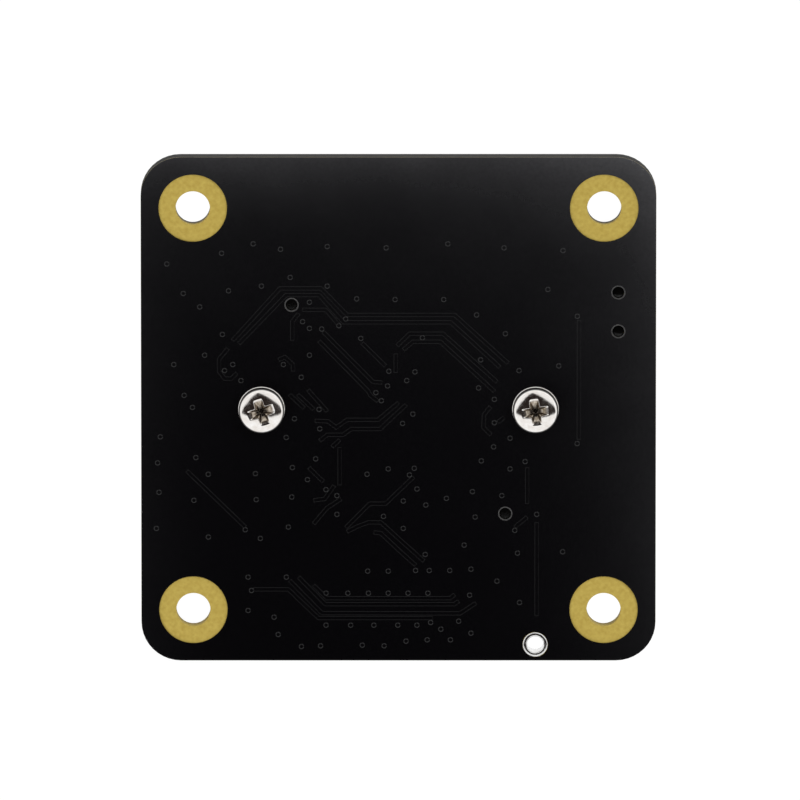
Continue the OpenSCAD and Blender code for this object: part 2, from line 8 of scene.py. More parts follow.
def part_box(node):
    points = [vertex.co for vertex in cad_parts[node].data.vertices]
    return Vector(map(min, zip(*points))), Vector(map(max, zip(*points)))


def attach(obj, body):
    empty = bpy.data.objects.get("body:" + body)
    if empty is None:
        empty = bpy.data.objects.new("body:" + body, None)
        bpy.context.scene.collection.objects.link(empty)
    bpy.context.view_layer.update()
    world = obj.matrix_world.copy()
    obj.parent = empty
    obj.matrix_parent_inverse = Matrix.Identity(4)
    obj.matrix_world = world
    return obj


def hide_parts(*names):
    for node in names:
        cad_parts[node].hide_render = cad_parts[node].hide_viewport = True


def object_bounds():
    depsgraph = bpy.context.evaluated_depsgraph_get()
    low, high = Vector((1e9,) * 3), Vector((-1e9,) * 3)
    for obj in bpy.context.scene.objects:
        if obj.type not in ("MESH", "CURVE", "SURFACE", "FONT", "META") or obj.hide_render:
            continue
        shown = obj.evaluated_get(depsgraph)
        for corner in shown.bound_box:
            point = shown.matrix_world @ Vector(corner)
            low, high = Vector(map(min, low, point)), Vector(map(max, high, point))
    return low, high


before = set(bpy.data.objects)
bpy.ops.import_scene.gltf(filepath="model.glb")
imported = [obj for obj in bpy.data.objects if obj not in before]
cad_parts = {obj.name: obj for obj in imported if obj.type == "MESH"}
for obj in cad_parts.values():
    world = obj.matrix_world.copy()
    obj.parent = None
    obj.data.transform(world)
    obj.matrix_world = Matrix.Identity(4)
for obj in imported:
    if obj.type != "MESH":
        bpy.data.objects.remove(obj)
cad_low, cad_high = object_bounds()

# ---- Camera ----
# A long lens nearly two metres away looks down on the board's back.
# It leans a little towards the board's top edge, so that edge and the hole walls show.
camera_lean = math.radians(12.2)
camera_distance = 1.9
aim = (cad_low + cad_high)/2 + Vector((0.00011, -0.00152, 0))
camera = bpy.data.objects.new("camera", bpy.data.cameras.new("camera"))
camera.data.sensor_width = 36
camera.data.lens = 1164.5
camera.data.clip_start, camera.data.clip_end = 0.1, 20
camera.rotation_euler = (-camera_lean, 0, 0)
camera.location = aim + camera_distance*Vector((0, math.sin(camera_lean), math.cos(camera_lean)))
bpy.context.scene.collection.objects.link(camera)
bpy.context.scene.camera = camera

# ---- Circuit board: laminate core ----
# A 1.2 mm plate of woven glass and yellow epoxy, routed to a rounded square and drilled.
# Its faces lie under the masks and show as bare rings round the four mounting holes.
MM = 0.001
UP = Vector((0, 0, 1))


def node_box(node):
    """A CAD node's lowest and highest corner, in millimetres."""
    low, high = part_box(node)
    return low/MM, high/MM


def close_shells(bm):
    """Merges doubles, drops loose edges and turns each shell so that its faces point outwards."""
    bmesh.ops.remove_doubles(bm, verts=bm.verts, dist=1e-5)
    bmesh.ops.delete(bm, geom=[edge for edge in bm.edges if not edge.link_faces], context="EDGES")
    bmesh.ops.recalc_face_normals(bm, faces=bm.faces)
    left = set(bm.faces)
    while left:
        stack, shell = [left.pop()], []
        while stack:
            face = stack.pop()
            shell.append(face)
            for other in {linked for edge in face.edges for linked in edge.link_faces} & left:
                left.remove(other)
                stack.append(other)
        if sum(face.verts[0].co.dot(face.normal)*face.calc_area() for face in shell) < 0:
            bmesh.ops.reverse_faces(bm, faces=shell)


def as_object(name, bm):
    """Makes an object of a bmesh, in the scene."""
    mesh = bpy.data.meshes.new(name)
    bm.to_mesh(mesh)
    bm.free()
    made = bpy.data.objects.new(name, mesh)
    bpy.context.scene.collection.objects.link(made)
    return made


def make_piece(name, bm, material, stands_for=(), sharp=38, flats=False):
    """Closes a mesh made in millimetres, puts it in metres and lets it ride on the module."""
    close_shells(bm)
    bmesh.ops.scale(bm, vec=(MM, MM, MM), verts=bm.verts)
    piece = as_object(name, bm)
    piece.data.shade_smooth()
    piece.data.set_sharp_from_angle(angle=math.radians(sharp))
    for finish in (material if isinstance(material, (list, tuple)) else [material]):
        piece.data.materials.append(finish)
    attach(piece, "root")
    if stands_for:
        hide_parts(*stands_for)
    if flats:
        piece.modifiers.new("flat_faces", "WEIGHTED_NORMAL").keep_sharp = True


def route(bm, z, inset=0.0):
    """Draws the board's outline, a rounded square, at one level."""
    size = Matrix.Diagonal((board_w - 2*inset, board_h - 2*inset, 1, 1))
    made = bmesh.ops.create_grid(bm, x_segments=1, y_segments=1, size=0.5,
                                 matrix=Matrix.Translation((0, 0, z)) @ size)
    bmesh.ops.bevel(bm, geom=made["verts"], affect="VERTICES", offset=corner_r - inset, segments=10,
                    profile=0.5, material=-1)
    bmesh.ops.delete(bm, geom=bm.faces[:], context="FACES_ONLY")


def drill(bm, z, mount_radius, peg_radius, plated_radius, mount_steps):
    """Draws the outlines of all the board's holes at one level."""
    for holes, radius, steps in ((mount_holes, mount_radius, mount_steps), (screw_holes, screw_hole_r, 48),
                                 (peg_holes, peg_radius, 48), ([(plated_x, plated_y)], plated_radius, 48)):
        for x, y in holes:
            bmesh.ops.create_circle(bm, segments=steps, radius=radius, matrix=Matrix.Translation((x, y, z)))


def verts_in(geom):
    """The vertices among what an operator made."""
    return [item for item in geom if isinstance(item, bmesh.types.BMVert)]


def raise_plate(bm, thickness):
    """Fills the outlines drawn so far, leaving the holes open, and gives the plate its thickness."""
    bmesh.ops.triangle_fill(bm, use_beauty=True, use_dissolve=False, edges=bm.edges[:], normal=UP)
    made = bmesh.ops.extrude_face_region(bm, geom=bm.faces[:])["geom"]
    bmesh.ops.translate(bm, vec=(0, 0, thickness), verts=verts_in(made))


def grain_group():
    """Shader group: soft noise at a size in millimetres, as a mask and as a bumped normal."""
    group = bpy.data.node_groups.new("grain", "ShaderNodeTree")
    for label, kind, value in (("Place", "NodeSocketVector", None), ("Size", "NodeSocketFloat", 0.2),
                               ("Detail", "NodeSocketFloat", 3), ("Relief", "NodeSocketFloat", 0.001)):
        socket = group.interface.new_socket(label, in_out="INPUT", socket_type=kind)
        if value is not None:
            socket.default_value = value
    group.interface.new_socket("Mask", in_out="OUTPUT", socket_type="NodeSocketFloat")
    group.interface.new_socket("Normal", in_out="OUTPUT", socket_type="NodeSocketVector")
    nodes, links = group.nodes, group.links
    entry, leave = nodes.new("NodeGroupInput"), nodes.new("NodeGroupOutput")
    scale = nodes.new("ShaderNodeMath")
    scale.operation = "DIVIDE"
    scale.inputs[0].default_value = 1/MM
    noise = nodes.new("ShaderNodeTexNoise")
    bump = nodes.new("ShaderNodeBump")
    links.new(entry.outputs["Size"], scale.inputs[1])
    links.new(scale.outputs[0], noise.inputs["Scale"])
    links.new(entry.outputs["Place"], noise.inputs["Vector"])
    links.new(entry.outputs["Detail"], noise.inputs["Detail"])
    links.new(noise.outputs["Fac"], bump.inputs["Height"])
    links.new(entry.outputs["Relief"], bump.inputs["Distance"])
    links.new(noise.outputs["Fac"], leave.inputs["Mask"])
    links.new(bump.outputs["Normal"], leave.inputs["Normal"])
    return group


GRAIN = grain_group()


class Shading:
    """The node tree of a material or of the world, cleared and under way."""

    def __init__(self, owner):
        owner.use_nodes = True
        self.nodes, self.links = owner.node_tree.nodes, owner.node_tree.links
        self.nodes.clear()

    def node(self, kind, settings=None, **inputs):
        """Adds a node; inputs are numbers, colours or other sockets, by position (i0, i1) or name."""
        made = self.nodes.new(kind)
        for label, value in (settings or {}).items():
            setattr(made, label, value)
        for label, value in inputs.items():
            numbered = label[0] == "i" and label[1:].isdigit()
            socket = made.inputs[int(label[1:]) if numbered else label.replace("_", " ")]
            if isinstance(value, bpy.types.NodeSocket):
                self.links.new(value, socket)
            else:
                socket.default_value = value
        return made

    def math(self, operation, *values):
        return self.node("ShaderNodeMath", {"operation": operation},
                         **{f"i{i}": value for i, value in enumerate(values)}).outputs[0]

    def blend(self, mask, dark, light):
        """Two colours mixed by a mask from 0 to 1."""
        dark, light = (color if isinstance(color, bpy.types.NodeSocket) else (*color, 1)
                       for color in (dark, light))
        return self.node("ShaderNodeMix", {"data_type": "RGBA"}, i0=mask, i6=dark, i7=light).outputs[2]


class Finish(Shading):
    """A material under way: one Principled shader fed from Object coordinates."""

    def __init__(self, name, **plain):
        self.material = bpy.data.materials.new(name)
        super().__init__(self.material)
        self.shader = self.node("ShaderNodeBsdfPrincipled", **plain)
        self.node("ShaderNodeOutputMaterial", i0=self.shader.outputs[0])
        self.place = self.node("ShaderNodeTexCoord").outputs["Object"]

    def axes(self):
        """The place's three coordinates."""
        return self.node("ShaderNodeSeparateXYZ", i0=self.place).outputs

    def grain(self, size, relief=0.0, detail=3, place=None):
        """Noise of that size and relief in millimetres: (mask, normal)."""
        made = self.node("ShaderNodeGroup", {"node_tree": GRAIN}, Place=place or self.place,
                         Size=size, Detail=detail, Relief=relief*MM)
        return made.outputs["Mask"], made.outputs["Normal"]

    def ramp(self, value, start, end, low=0.0, high=1.0):
        """Low up to the start, high from the end on, and an even rise between."""
        return self.node("ShaderNodeMapRange", i0=value, i1=start, i2=end, i3=low, i4=high).outputs[0]

    def spread(self, mask, low, high):
        """A mask's middle range, stretched between two numbers."""
        return self.ramp(mask, 0.3, 0.7, low, high)

    def mottle(self, mask, dark, light):
        """Two colours that wander with a noise mask."""
        return self.blend(self.spread(mask, 0, 1), dark, light)

    def done(self, color, roughness, normal=None):
        """Feeds the shader and hands over the material."""
        for label, value in (("Base Color", color), ("Roughness", roughness), ("Normal", normal)):
            if value is not None:
                self.links.new(value, self.shader.inputs[label])
        return self.material


def laminate_finish():
    """Yellow epoxy over woven glass, with the weave's crossings faintly lighter."""
    made = Finish("bare_laminate", Specular_IOR_Level=0.3)
    x, y, _ = made.axes()
    thread = 2*math.pi/(0.42*MM)
    weave = made.math("MULTIPLY", made.math("SINE", made.math("MULTIPLY", x, thread)),
                      made.math("SINE", made.math("MULTIPLY", y, thread)))
    cloud, normal = made.grain(0.3, 0.012, 4)
    mask = made.math("ADD", made.math("MULTIPLY", weave, 0.035), cloud)
    return made.done(made.mottle(mask, (0.385, 0.275, 0.052), (0.465, 0.352, 0.078)),
                     made.spread(mask, 0.5, 0.7), normal)


def routed_edge_finish():
    """The routed edge: far darker than the faces, with the glass layers showing as thin lines along it."""
    made = Finish("routed_edge", Specular_IOR_Level=0.12)
    _, _, z = made.axes()
    layers = made.math("SINE", made.math("MULTIPLY", z, 2*math.pi/(0.19*MM)))
    along = made.node("ShaderNodeMapping", i0=made.place, Scale=(1, 1, 6)).outputs[0]
    fibres, normal = made.grain(0.5, 0.02, 5, along)
    mask = made.math("ADD", made.math("MULTIPLY", layers, 0.16), fibres)
    return made.done(made.mottle(mask, (0.010, 0.010, 0.009), (0.040, 0.038, 0.035)),
                     made.spread(mask, 0.6, 0.85), normal)


def drilled_wall_finish():
    """A mounting hole's wall: yellow like the faces, with painted shade that darkens it towards the lens
    side, most in the two upper holes.
    """
    made = Finish("drilled_wall", Specular_IOR_Level=0.2)
    _, y, z = made.axes()
    # painted shade: darker deeper down the wall, and only about a third as much in the two lower holes
    deep = made.ramp(z, (back_z - 0.30)*MM, (front_z + 0.35)*MM)
    upper_hole_shade = made.ramp(y, -6.0*MM, 6.0*MM, 0.35)
    fibres, normal = made.grain(0.25, 0.015, 4)
    yellow = made.mottle(fibres, (0.36, 0.265, 0.055), (0.44, 0.335, 0.075))
    return made.done(made.blend(made.math("MULTIPLY", deep, upper_hole_shade), yellow, (0.045, 0.040, 0.030)),
                     made.spread(fibres, 0.6, 0.8), normal)


board_low, board_high = node_box("circuit_board")
board_w, board_h = board_high.x - board_low.x, board_high.y - board_low.y
front_z, back_z = board_low.z, board_high.z
corner_r, mask_t = 2.9, 0.06
mount_inset, mount_hole_r = 3.8, 1.25
mount = board_w/2 - mount_inset
mount_holes = [(sx*mount, sy*mount) for sx in (-1, 1) for sy in (-1, 1)]
screw_low, screw_high = node_box("holder_screws")
screw_r, screw_hole_r = (screw_high.y - screw_low.y)/2, 1.1
screw_x = screw_high.x - screw_r
screw_holes = [(-screw_x, 0), (screw_x, 0)]
peg_hole_r, peg_opening_r = 0.44, 0.53
holder_peg = node_box("lens_holder")[1].y - 1.2
socket_peg_x, socket_y, socket_peg_gap = board_high.x - 2.76, 7.27, 2.9
peg_holes = [(-holder_peg, holder_peg), (holder_peg, -holder_peg),
             (socket_peg_x, socket_y - socket_peg_gap/2), (socket_peg_x, socket_y + socket_peg_gap/2)]
plated_low, plated_high = node_box("plated_hole")
plated_x, plated_y = (plated_low.x + plated_high.x)/2, (plated_low.y + plated_high.y)/2
barrel_r = 0.8

bm = bmesh.new()
route(bm, front_z + mask_t)
drill(bm, front_z + mask_t, mount_hole_r, peg_hole_r, barrel_r, 64)
raise_plate(bm, back_z - front_z - 2*mask_t)
bm.normal_update()
for face in bm.faces:
    middle = face.calc_center_median()
    at_edge = max(abs(middle.x) - board_w/2, abs(middle.y) - board_h/2) > -corner_r*0.3
    in_peg_hole = any(math.dist(middle.xy, hole) < peg_opening_r for hole in peg_holes)
    if abs(face.normal.z) < 0.5:
        face.material_index = 1 if at_edge or in_peg_hole else 2
make_piece("board_laminate", bm, [laminate_finish(), routed_edge_finish(), drilled_wall_finish()],
           ["circuit_board"])

# ---- Circuit board: solder masks ----
# Satin black mask printed over copper on both faces, with clear openings round the holes.
# A painted sheen, a thin grey lift of the colour where the ink is also rougher, is strongest along the top
# edge and the right edge.
def mask_finish():
    """Satin black ink: fine ripple, faint speckle, and a painted sheen that grows towards two edges."""
    made = Finish("solder_mask")
    x, y, _ = made.axes()

    def fade(value, reach, strength):
        """Falls away from an edge: value is the distance from the middle, towards that edge."""
        inward = made.math("SUBTRACT", value, board_w/2*MM)
        return made.math("MULTIPLY", made.math("EXPONENT", made.math("DIVIDE", inward, reach*MM)), strength)

    left = made.math("MULTIPLY", x, -1.0)
    # painted sheen: the colour is lifted towards grey along the top and right edges, and most at their
    # corner
    painted_sheen = made.math("ADD", made.math("ADD", fade(y, 1.8, 0.018), fade(y, 7.5, 0.007)),
                      made.math("ADD", fade(x, 3.2, 0.0065), fade(left, 2.5, 0.0025)))
    corner = made.math("MULTIPLY", fade(x, 3.0, 1.0), fade(y, 3.0, 0.045))
    flank = made.math("MULTIPLY", fade(x, 9.0, 1.0), fade(y, 14.0, 0.0105))
    painted_sheen = made.math("ADD", painted_sheen, made.math("ADD", corner, flank))
    cloud, _ = made.grain(6.0, 0, 2)
    speck, ripple = made.grain(0.22, 0.0012, 3)
    painted_sheen = made.math("MULTIPLY", painted_sheen, made.spread(cloud, 0.85, 1.15))
    painted_sheen = made.math("MULTIPLY", painted_sheen, made.spread(speck, 0.9, 1.1))
    rough = made.math("ADD", made.spread(speck, 0.13, 0.17), made.math("MULTIPLY", painted_sheen, 2.0))
    return made.done(made.blend(painted_sheen, (0.0008, 0.0008, 0.0013), (1, 1, 1.05)), rough, ripple)


solder_mask = mask_finish()
mask_reveal, bare_ring_r, pad_opening_r = 0.005, 2.5, 0.94
for name, z in (("back_mask", back_z - mask_t), ("front_mask", front_z)):
    bm = bmesh.new()
    route(bm, z, mask_reveal)
    drill(bm, z, bare_ring_r, peg_opening_r, pad_opening_r, 96)
    raise_plate(bm, mask_t)
    make_piece(name, bm, solder_mask)

# ---- Circuit board: rims of the peg holes ----
# Each unplated peg hole keeps a narrow ring of bare board inside the mask's opening, painted dark grey as
# shade.
# The ring lies just under the mask's face.
def grained(name, dark, light, rough, size, relief, detail=3, **plain):
    """A material whose colour and roughness wander together with a fine bumped grain."""
    made = Finish(name, **plain)
    mask, normal = made.grain(size, relief, detail)
    return made.done(made.mottle(mask, dark, light), made.spread(mask, *rough), normal)


# painted shade: the bare ring is given a dark grey in place of the board's yellow
shaded_rim = grained("shaded_rim", (0.028, 0.028, 0.030), (0.060, 0.058, 0.056), (0.35, 0.55),
                        0.12, 0.004, 4)
rim_sink = 0.012


def lathe(bm, outline, x=0.0, y=0.0, steps=64):
    """Turns a closed outline of (radius, height) points once round an upright axis."""
    verts = [bm.verts.new((x + radius, y, z)) for radius, z in outline]
    edges = [bm.edges.new((verts[i - 1], verts[i])) for i in range(len(verts))]
    bmesh.ops.spin(bm, geom=verts + edges, cent=(x, y, 0), axis=UP, angle=2*math.pi, steps=steps,
                   use_merge=True, use_duplicate=False)


bm = bmesh.new()
for x, y in peg_holes:
    for low, high in ((back_z - mask_t, back_z - rim_sink), (front_z + rim_sink, front_z + mask_t)):
        lathe(bm, [(peg_hole_r, low), (peg_opening_r, low), (peg_opening_r, high),
                   (peg_opening_r - 0.03, high), (peg_hole_r + 0.015, high - 0.004),
                   (peg_hole_r, high - 0.015)], x, y, 40)
make_piece("peg_hole_rims", bm, shaded_rim)

# ---- Circuit board: traces on the back ----
# Copper lines run in gaps of the copper pour, so each stands in the mask as a low flat ridge
# with two sloping sides. Fine pairs carry the camera's data, wider runs its power.
trace_w = 0.27
trace_slope = 0.011
trace_h = 0.0065
artwork_rise = 0.15
back_traces = [
    # two long runs over the holder's peg, along the top and down to the right
    [(-12.1, 5.0), (-8.65, 8.88), (-5.65, 8.88), (-3.75, 6.9), (4.1, 6.9), (8.0, 3.3)],
    [(-11.65, 4.75), (-8.2, 8.38), (-5.8, 8.38), (-4.0, 6.35), (3.8, 6.35), (7.4, 3.0)],
    [(-7.0, 7.28), (-5.3, 7.28), (-4.4, 6.2)],
    [(-7.3, 7.0), (-7.75, 6.4), (-7.75, 5.0)],
    [(-12.45, 4.4), (-13.1, 3.6), (-13.1, 2.7), (-12.7, 2.15), (-12.2, 2.15), (-11.8, 2.55)],
    # diagonals over the middle
    [(-5.5, 5.65), (-1.85, 1.9), (-1.2, 1.85)],
    [(-5.8, 4.95), (-2.2, 1.2), (-2.05, 0.9), (-1.5, 0.45)],
    [(-2.65, 4.8), (-0.95, 3.1)],
    [(-8.75, 3.55), (-8.3, 3.75), (-7.7, 3.2), (-7.7, 2.7)],
    [(-7.95, 0.95), (-6.9, -0.05)],
    [(-7.35, 0.95), (-6.2, -0.15)],
    [(-6.6, 1.3), (-5.2, -0.3)],
    # inner arch
    [(-0.1, 4.6), (0.8, 5.5), (3.25, 5.5), (7.2, 1.9)],
    [(0.35, 4.3), (1.05, 4.9), (3.05, 4.9), (7.0, 1.2)],
    [(-0.2, 4.0), (-0.2, 2.6)],
    # bundle between the screws
    [(-6.1, -1.0), (-5.15, -1.05), (-4.55, -1.5), (-3.75, -0.93), (-1.5, -0.93), (0.0, 0.35)],
    [(-5.75, -2.5), (-5.2, -2.05), (-4.05, -2.05), (-3.45, -1.62), (-1.35, -1.62), (0.55, 0.2)],
    [(-4.85, -2.95), (-4.3, -2.43)],
    [(-4.3, -3.0), (-4.3, -5.8)],
    [(6.7, 0.05), (6.25, -0.55), (6.2, -1.5), (6.75, -2.05)],
    [(7.25, -1.1), (7.75, -0.75)],
    # right side
    [(13.17, 6.5), (13.17, -2.4)],
    [(9.4, -4.5), (9.4, -7.2)],
    [(9.4, -8.2), (8.5, -8.95)],
    [(10.1, -8.6), (10.1, -15.6)],
    # lower left
    [(-15.45, -4.75), (-11.2, -8.95)],
    [(-6.55, -4.5), (-5.5, -5.55)],
    [(-4.7, -5.85), (-5.4, -6.85), (-6.2, -6.95)],
    [(-4.2, -6.85), (-5.2, -7.5), (-6.2, -8.7)],
    [(-3.85, -9.0), (-2.1, -7.2), (-0.95, -7.2), (1.1, -5.2)],
    [(-3.75, -9.3), (-3.0, -8.9), (-2.2, -8.6), (-1.3, -8.6), (1.85, -11.5)],
    [(-1.8, -9.35), (-1.3, -9.4), (0.2, -10.85), (1.25, -11.8)],
    # long runs along the bottom
    [(-10.6, -13.62), (-8.05, -13.62), (-5.85, -15.77), (2.5, -15.77)],
    [(-7.95, -12.95), (-5.6, -15.4), (4.5, -15.42), (5.65, -14.65)],
    [(-7.3, -12.7), (-5.35, -14.73), (4.1, -14.73), (4.4, -14.5)],
    [(-6.2, -13.3), (-5.25, -14.28), (3.8, -14.28), (4.1, -14.0)],
]


def lay_strip(bm, points, width, z):
    """A flat strip along a line, mitred at its corners."""
    points = [Vector((*point, z)) for point in points]
    left = right = None
    for i, point in enumerate(points):
        runs = [(points[j + 1] - points[j]).normalized() for j in (i - 1, i) if 0 <= j < len(points) - 1]
        run = sum(runs, Vector()).normalized()
        side = Vector((-run.y, run.x, 0))*(width/2/run.dot(runs[0]))
        if left is None:
            left, right = bm.verts.new(point + side), bm.verts.new(point - side)
            edge = bm.edges.new((left, right))
            continue
        grown = verts_in(bmesh.ops.extrude_edge_only(bm, edges=[edge])["geom"])
        new_left = min(grown, key=lambda vert: (vert.co - left.co).length)
        new_right = next(vert for vert in grown if vert is not new_left)
        left, right = new_left, new_right
        left.co, right.co = point + side, point - side
        edge = bm.edges.get((left, right))


def ridges(name, lines, z, up):
    """Flat strips raised into ridges with sloping sides, rooted just inside the mask."""
    bm = bmesh.new()
    root = 0.01
    for points in lines:
        lay_strip(bm, points, trace_w, z - up*root)
    made = bmesh.ops.extrude_face_region(bm, geom=bm.faces[:])["geom"]
    bmesh.ops.translate(bm, vec=(0, 0, up*root), verts=verts_in(made))
    tops = [item for item in made if isinstance(item, bmesh.types.BMFace)]
    bmesh.ops.recalc_face_normals(bm, faces=bm.faces)
    bmesh.ops.inset_region(bm, faces=tops, thickness=trace_slope, depth=trace_h, use_boundary=True,
                           use_even_offset=True)
    make_piece(name, bm, solder_mask, sharp=12)


ridges("back_traces", [[(x, y + artwork_rise) for x, y in line] for line in back_traces], back_z, 1)

# ---- Circuit board: tented vias on the back ----
# Small plated holes that the mask closes over: each stands as a low round collar with a faint dimple.
# They stitch the copper pours together and bring the traces through the board.
via_r, via_h = 0.19, 0.022
back_vias = [
    # upper left
    (-12.9, 11.5), (-10.6, 12.2), (-8.6, 11.8), (-5.2, 12.0), (-0.9, 11.9), (-16.9, 10.7), (-15.7, 8.5),
    (-12.4, 8.7), (-10.0, 9.05), (-7.9, 9.7), (-5.2, 9.05), (-14.5, 7.5), (-6.5, 7.85), (-3.05, 8.1),
    (-0.25, 8.05), (-12.85, 5.45), (-7.0, 6.4), (-6.5, 5.9), (-5.6, 5.85), (-4.35, 6.1), (-3.85, 6.6),
    (-2.75, 5.15), (-14.15, 3.9), (-6.5, 3.9), (-8.4, 3.2), (-12.1, 3.2), (-12.7, 2.75), (-16.4, 3.2),
    (-11.5, 2.0), (-7.1, 2.25), (-0.7, 2.7), (-0.8, 1.6), (-1.65, 1.1), (-1.25, 0.5), (-15.65, 0.9),
    (-15.05, 0.0),
    # upper right
    (3.6, 12.2), (7.7, 11.9), (12.0, 11.7), (3.3, 8.05), (10.9, 8.8), (5.7, 6.9), (7.8, 5.5),
    (13.05, 6.8), (1.75, 5.2), (6.0, 3.55), (1.2, 2.65), (0.6, 2.0), (8.8, 2.75), (11.7, 3.1),
    (5.85, 1.45), (7.0, 0.6),
    # lower left
    (-5.8, -0.15), (-7.6, -0.85), (-8.2, -2.25), (-5.75, -1.6), (-6.05, -3.85), (-7.75, -4.5),
    (-6.65, -5.4), (-5.3, -6.15), (-4.5, -6.6), (-7.8, -6.7), (-4.5, -8.0), (-8.05, -8.95), (-2.3, -5.0),
    (-0.75, -4.6), (-1.1, -8.15), (-17.4, -2.2), (-14.8, -3.75), (-17.6, -4.15), (-13.9, -5.0),
    (-10.45, -4.95), (-17.5, -6.35), (-14.95, -6.95), (-10.4, -6.9), (-11.2, -9.15), (-17.7, -9.05),
    (-13.9, -9.7), (-10.1, -9.8), (-11.0, -12.7), (-8.2, -12.7), (-10.75, -13.7), (-11.0, -15.2),
    (-9.1, -15.7), (-8.8, -17.0), (-2.25, -12.25), (-0.75, -12.25), (-7.1, -17.9), (-5.7, -17.85),
    (-2.65, -17.8), (-1.05, -17.85),
    # lower right
    (1.05, -0.5), (0.3, -1.2), (7.0, -1.15), (8.15, -2.3), (6.95, -2.95), (6.05, -4.0), (8.15, -4.6),
    (9.25, -4.05), (1.15, -4.55), (0.8, -5.05), (1.35, -6.1), (0.35, -7.0), (2.0, -7.3), (3.5, -6.8),
    (5.4, -6.3), (7.55, -6.6), (5.6, -8.2), (10.1, -8.0), (8.5, -9.2), (0.35, -9.05), (4.8, -10.3),
    (8.7, -10.9), (12.0, -10.8), (1.95, -11.0), (1.25, -12.2), (2.25, -12.2), (3.75, -12.2), (5.3, -12.1),
    (7.2, -13.0), (5.2, -14.05), (8.85, -14.6), (2.35, -16.1), (4.4, -16.0), (3.1, -16.6), (5.3, -16.9),
    (0.55, -17.5), (2.1, -17.4), (3.8, -17.4), (13.05, -2.7),
]
back_vias += [(x, -13.9) for x in (-5.3, -3.7, -2.2, -0.75, 0.7, 2.15)]
back_vias += [(x, -16.3) for x in (-5.3, -3.5, -1.8, -0.05, 1.35)]


def collars(name, places, z, up):
    """A low collar round a dimple at each place, turned from one outline."""
    bm = bmesh.new()
    outline = [(0, -0.01), (via_r, -0.01), (via_r, 0), (0.77*via_r, via_h), (0, 0.85*via_h)]
    for x, y in places:
        lathe(bm, [(radius, z + up*rise) for radius, rise in outline], x, y, 12)
    make_piece(name, bm, solder_mask, sharp=20)


collars("back_vias", [(x, y + artwork_rise) for x, y in back_vias], back_z, 1)

# ---- Circuit board: plated hole ----
# A copper barrel through the board with a pad on each face, all under a bright skin of tin.
# The tin is thickest on the pads, where it draws up into a smooth low dome.
bright_tin = grained("bright_tin", (0.66, 0.66, 0.66), (0.90, 0.90, 0.89), (0.14, 0.30), 0.30, 0.008,
                     Metallic=1.0)
pad_r, pad_h, bore_r = (plated_high.x - plated_low.x)/2, plated_high.z - back_z, 0.6
back_pad = [(bore_r, back_z - 0.10), (bore_r + 0.005, back_z), (bore_r + 0.03, back_z + 0.6*pad_h),
            (bore_r + 0.09, back_z + 0.95*pad_h), (bore_r + 0.15, back_z + pad_h),
            (bore_r + 0.22, back_z + 0.85*pad_h), (pad_r - 0.03, back_z + 0.45*pad_h),
            (pad_r, back_z + 0.05*pad_h), (pad_r, back_z), (barrel_r, back_z)]
front_pad = [(radius, front_z + back_z - z) for radius, z in reversed(back_pad)]
bm = bmesh.new()
lathe(bm, back_pad + front_pad, plated_x, plated_y, 72)
make_piece("tinned_barrel", bm, bright_tin, ["plated_hole"])

# ---- Image sensor ----
# A black ceramic tray soldered to the board under the lens, with the silicon die on its floor.
# A clear glass, glued on the tray's rim, keeps dust off the die.
def eased_piece(name, node, easing, material, segments=2, flats=True):
    """A piece in a CAD node's own shape, with its sharp edges slightly rounded."""
    bm = bmesh.new()
    bm.from_mesh(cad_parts[node].data)
    bmesh.ops.scale(bm, vec=(1/MM, 1/MM, 1/MM), verts=bm.verts)
    bmesh.ops.remove_doubles(bm, verts=bm.verts, dist=1e-3)
    bmesh.ops.dissolve_limit(bm, angle_limit=math.radians(0.5), verts=bm.verts, edges=bm.edges)
    edges = [edge for edge in bm.edges
             if len(edge.link_faces) == 2 and edge.calc_face_angle() > math.radians(30)]
    bmesh.ops.bevel(bm, geom=edges, offset=easing, segments=segments, profile=0.5, affect="EDGES",
                    material=-1, clamp_overlap=True)
    make_piece(name, bm, material, [node], flats=flats)


def block(bm, low, high, easing, segments=2):
    """A block between two corners, with its edges eased."""
    low, high = Vector(low), Vector(high)
    made = bmesh.ops.create_cube(bm, size=1, matrix=Matrix.Translation((low + high)/2)
                                 @ Matrix.Diagonal((*(high - low), 1)))
    edges = {edge for vert in made["verts"] for edge in vert.link_edges}
    bmesh.ops.bevel(bm, geom=list(edges), offset=easing, segments=segments, profile=0.5,
                    affect="EDGES", material=-1)


def block_piece(name, node, easing, material, flats=True):
    """A piece that fills a CAD node's box, with its edges eased."""
    bm = bmesh.new()
    block(bm, *node_box(node), easing)
    make_piece(name, bm, material, [node], flats=flats)


def die_finish():
    """Polished silicon: a light-sensitive field, green to violet, inside a border of fine wiring."""
    made = Finish("sensor_silicon", Metallic=0.7, Thin_Film_Thickness=420.0, Thin_Film_IOR=1.6)
    x, y, _ = made.axes()
    reach = made.math("MAXIMUM", made.math("DIVIDE", made.math("ABSOLUTE", x), 2.9*MM),
                      made.math("DIVIDE", made.math("ABSOLUTE", y), 2.4*MM))
    border = made.math("GREATER_THAN", reach, 1.0)
    lines = made.math("SINE", made.math("MULTIPLY", made.math("ADD", x, y), 2*math.pi/(0.12*MM)))
    wiring = made.math("MULTIPLY", border, made.math("ADD", made.math("MULTIPLY", lines, 0.4), 0.5))
    cloud, _ = made.grain(1.5, 0, 2)
    field = made.mottle(cloud, (0.05, 0.11, 0.12), (0.11, 0.08, 0.16))
    speck, _ = made.grain(0.2, 0, 3)
    return made.done(made.blend(wiring, field, (0.34, 0.31, 0.26)), made.spread(speck, 0.08, 0.18))


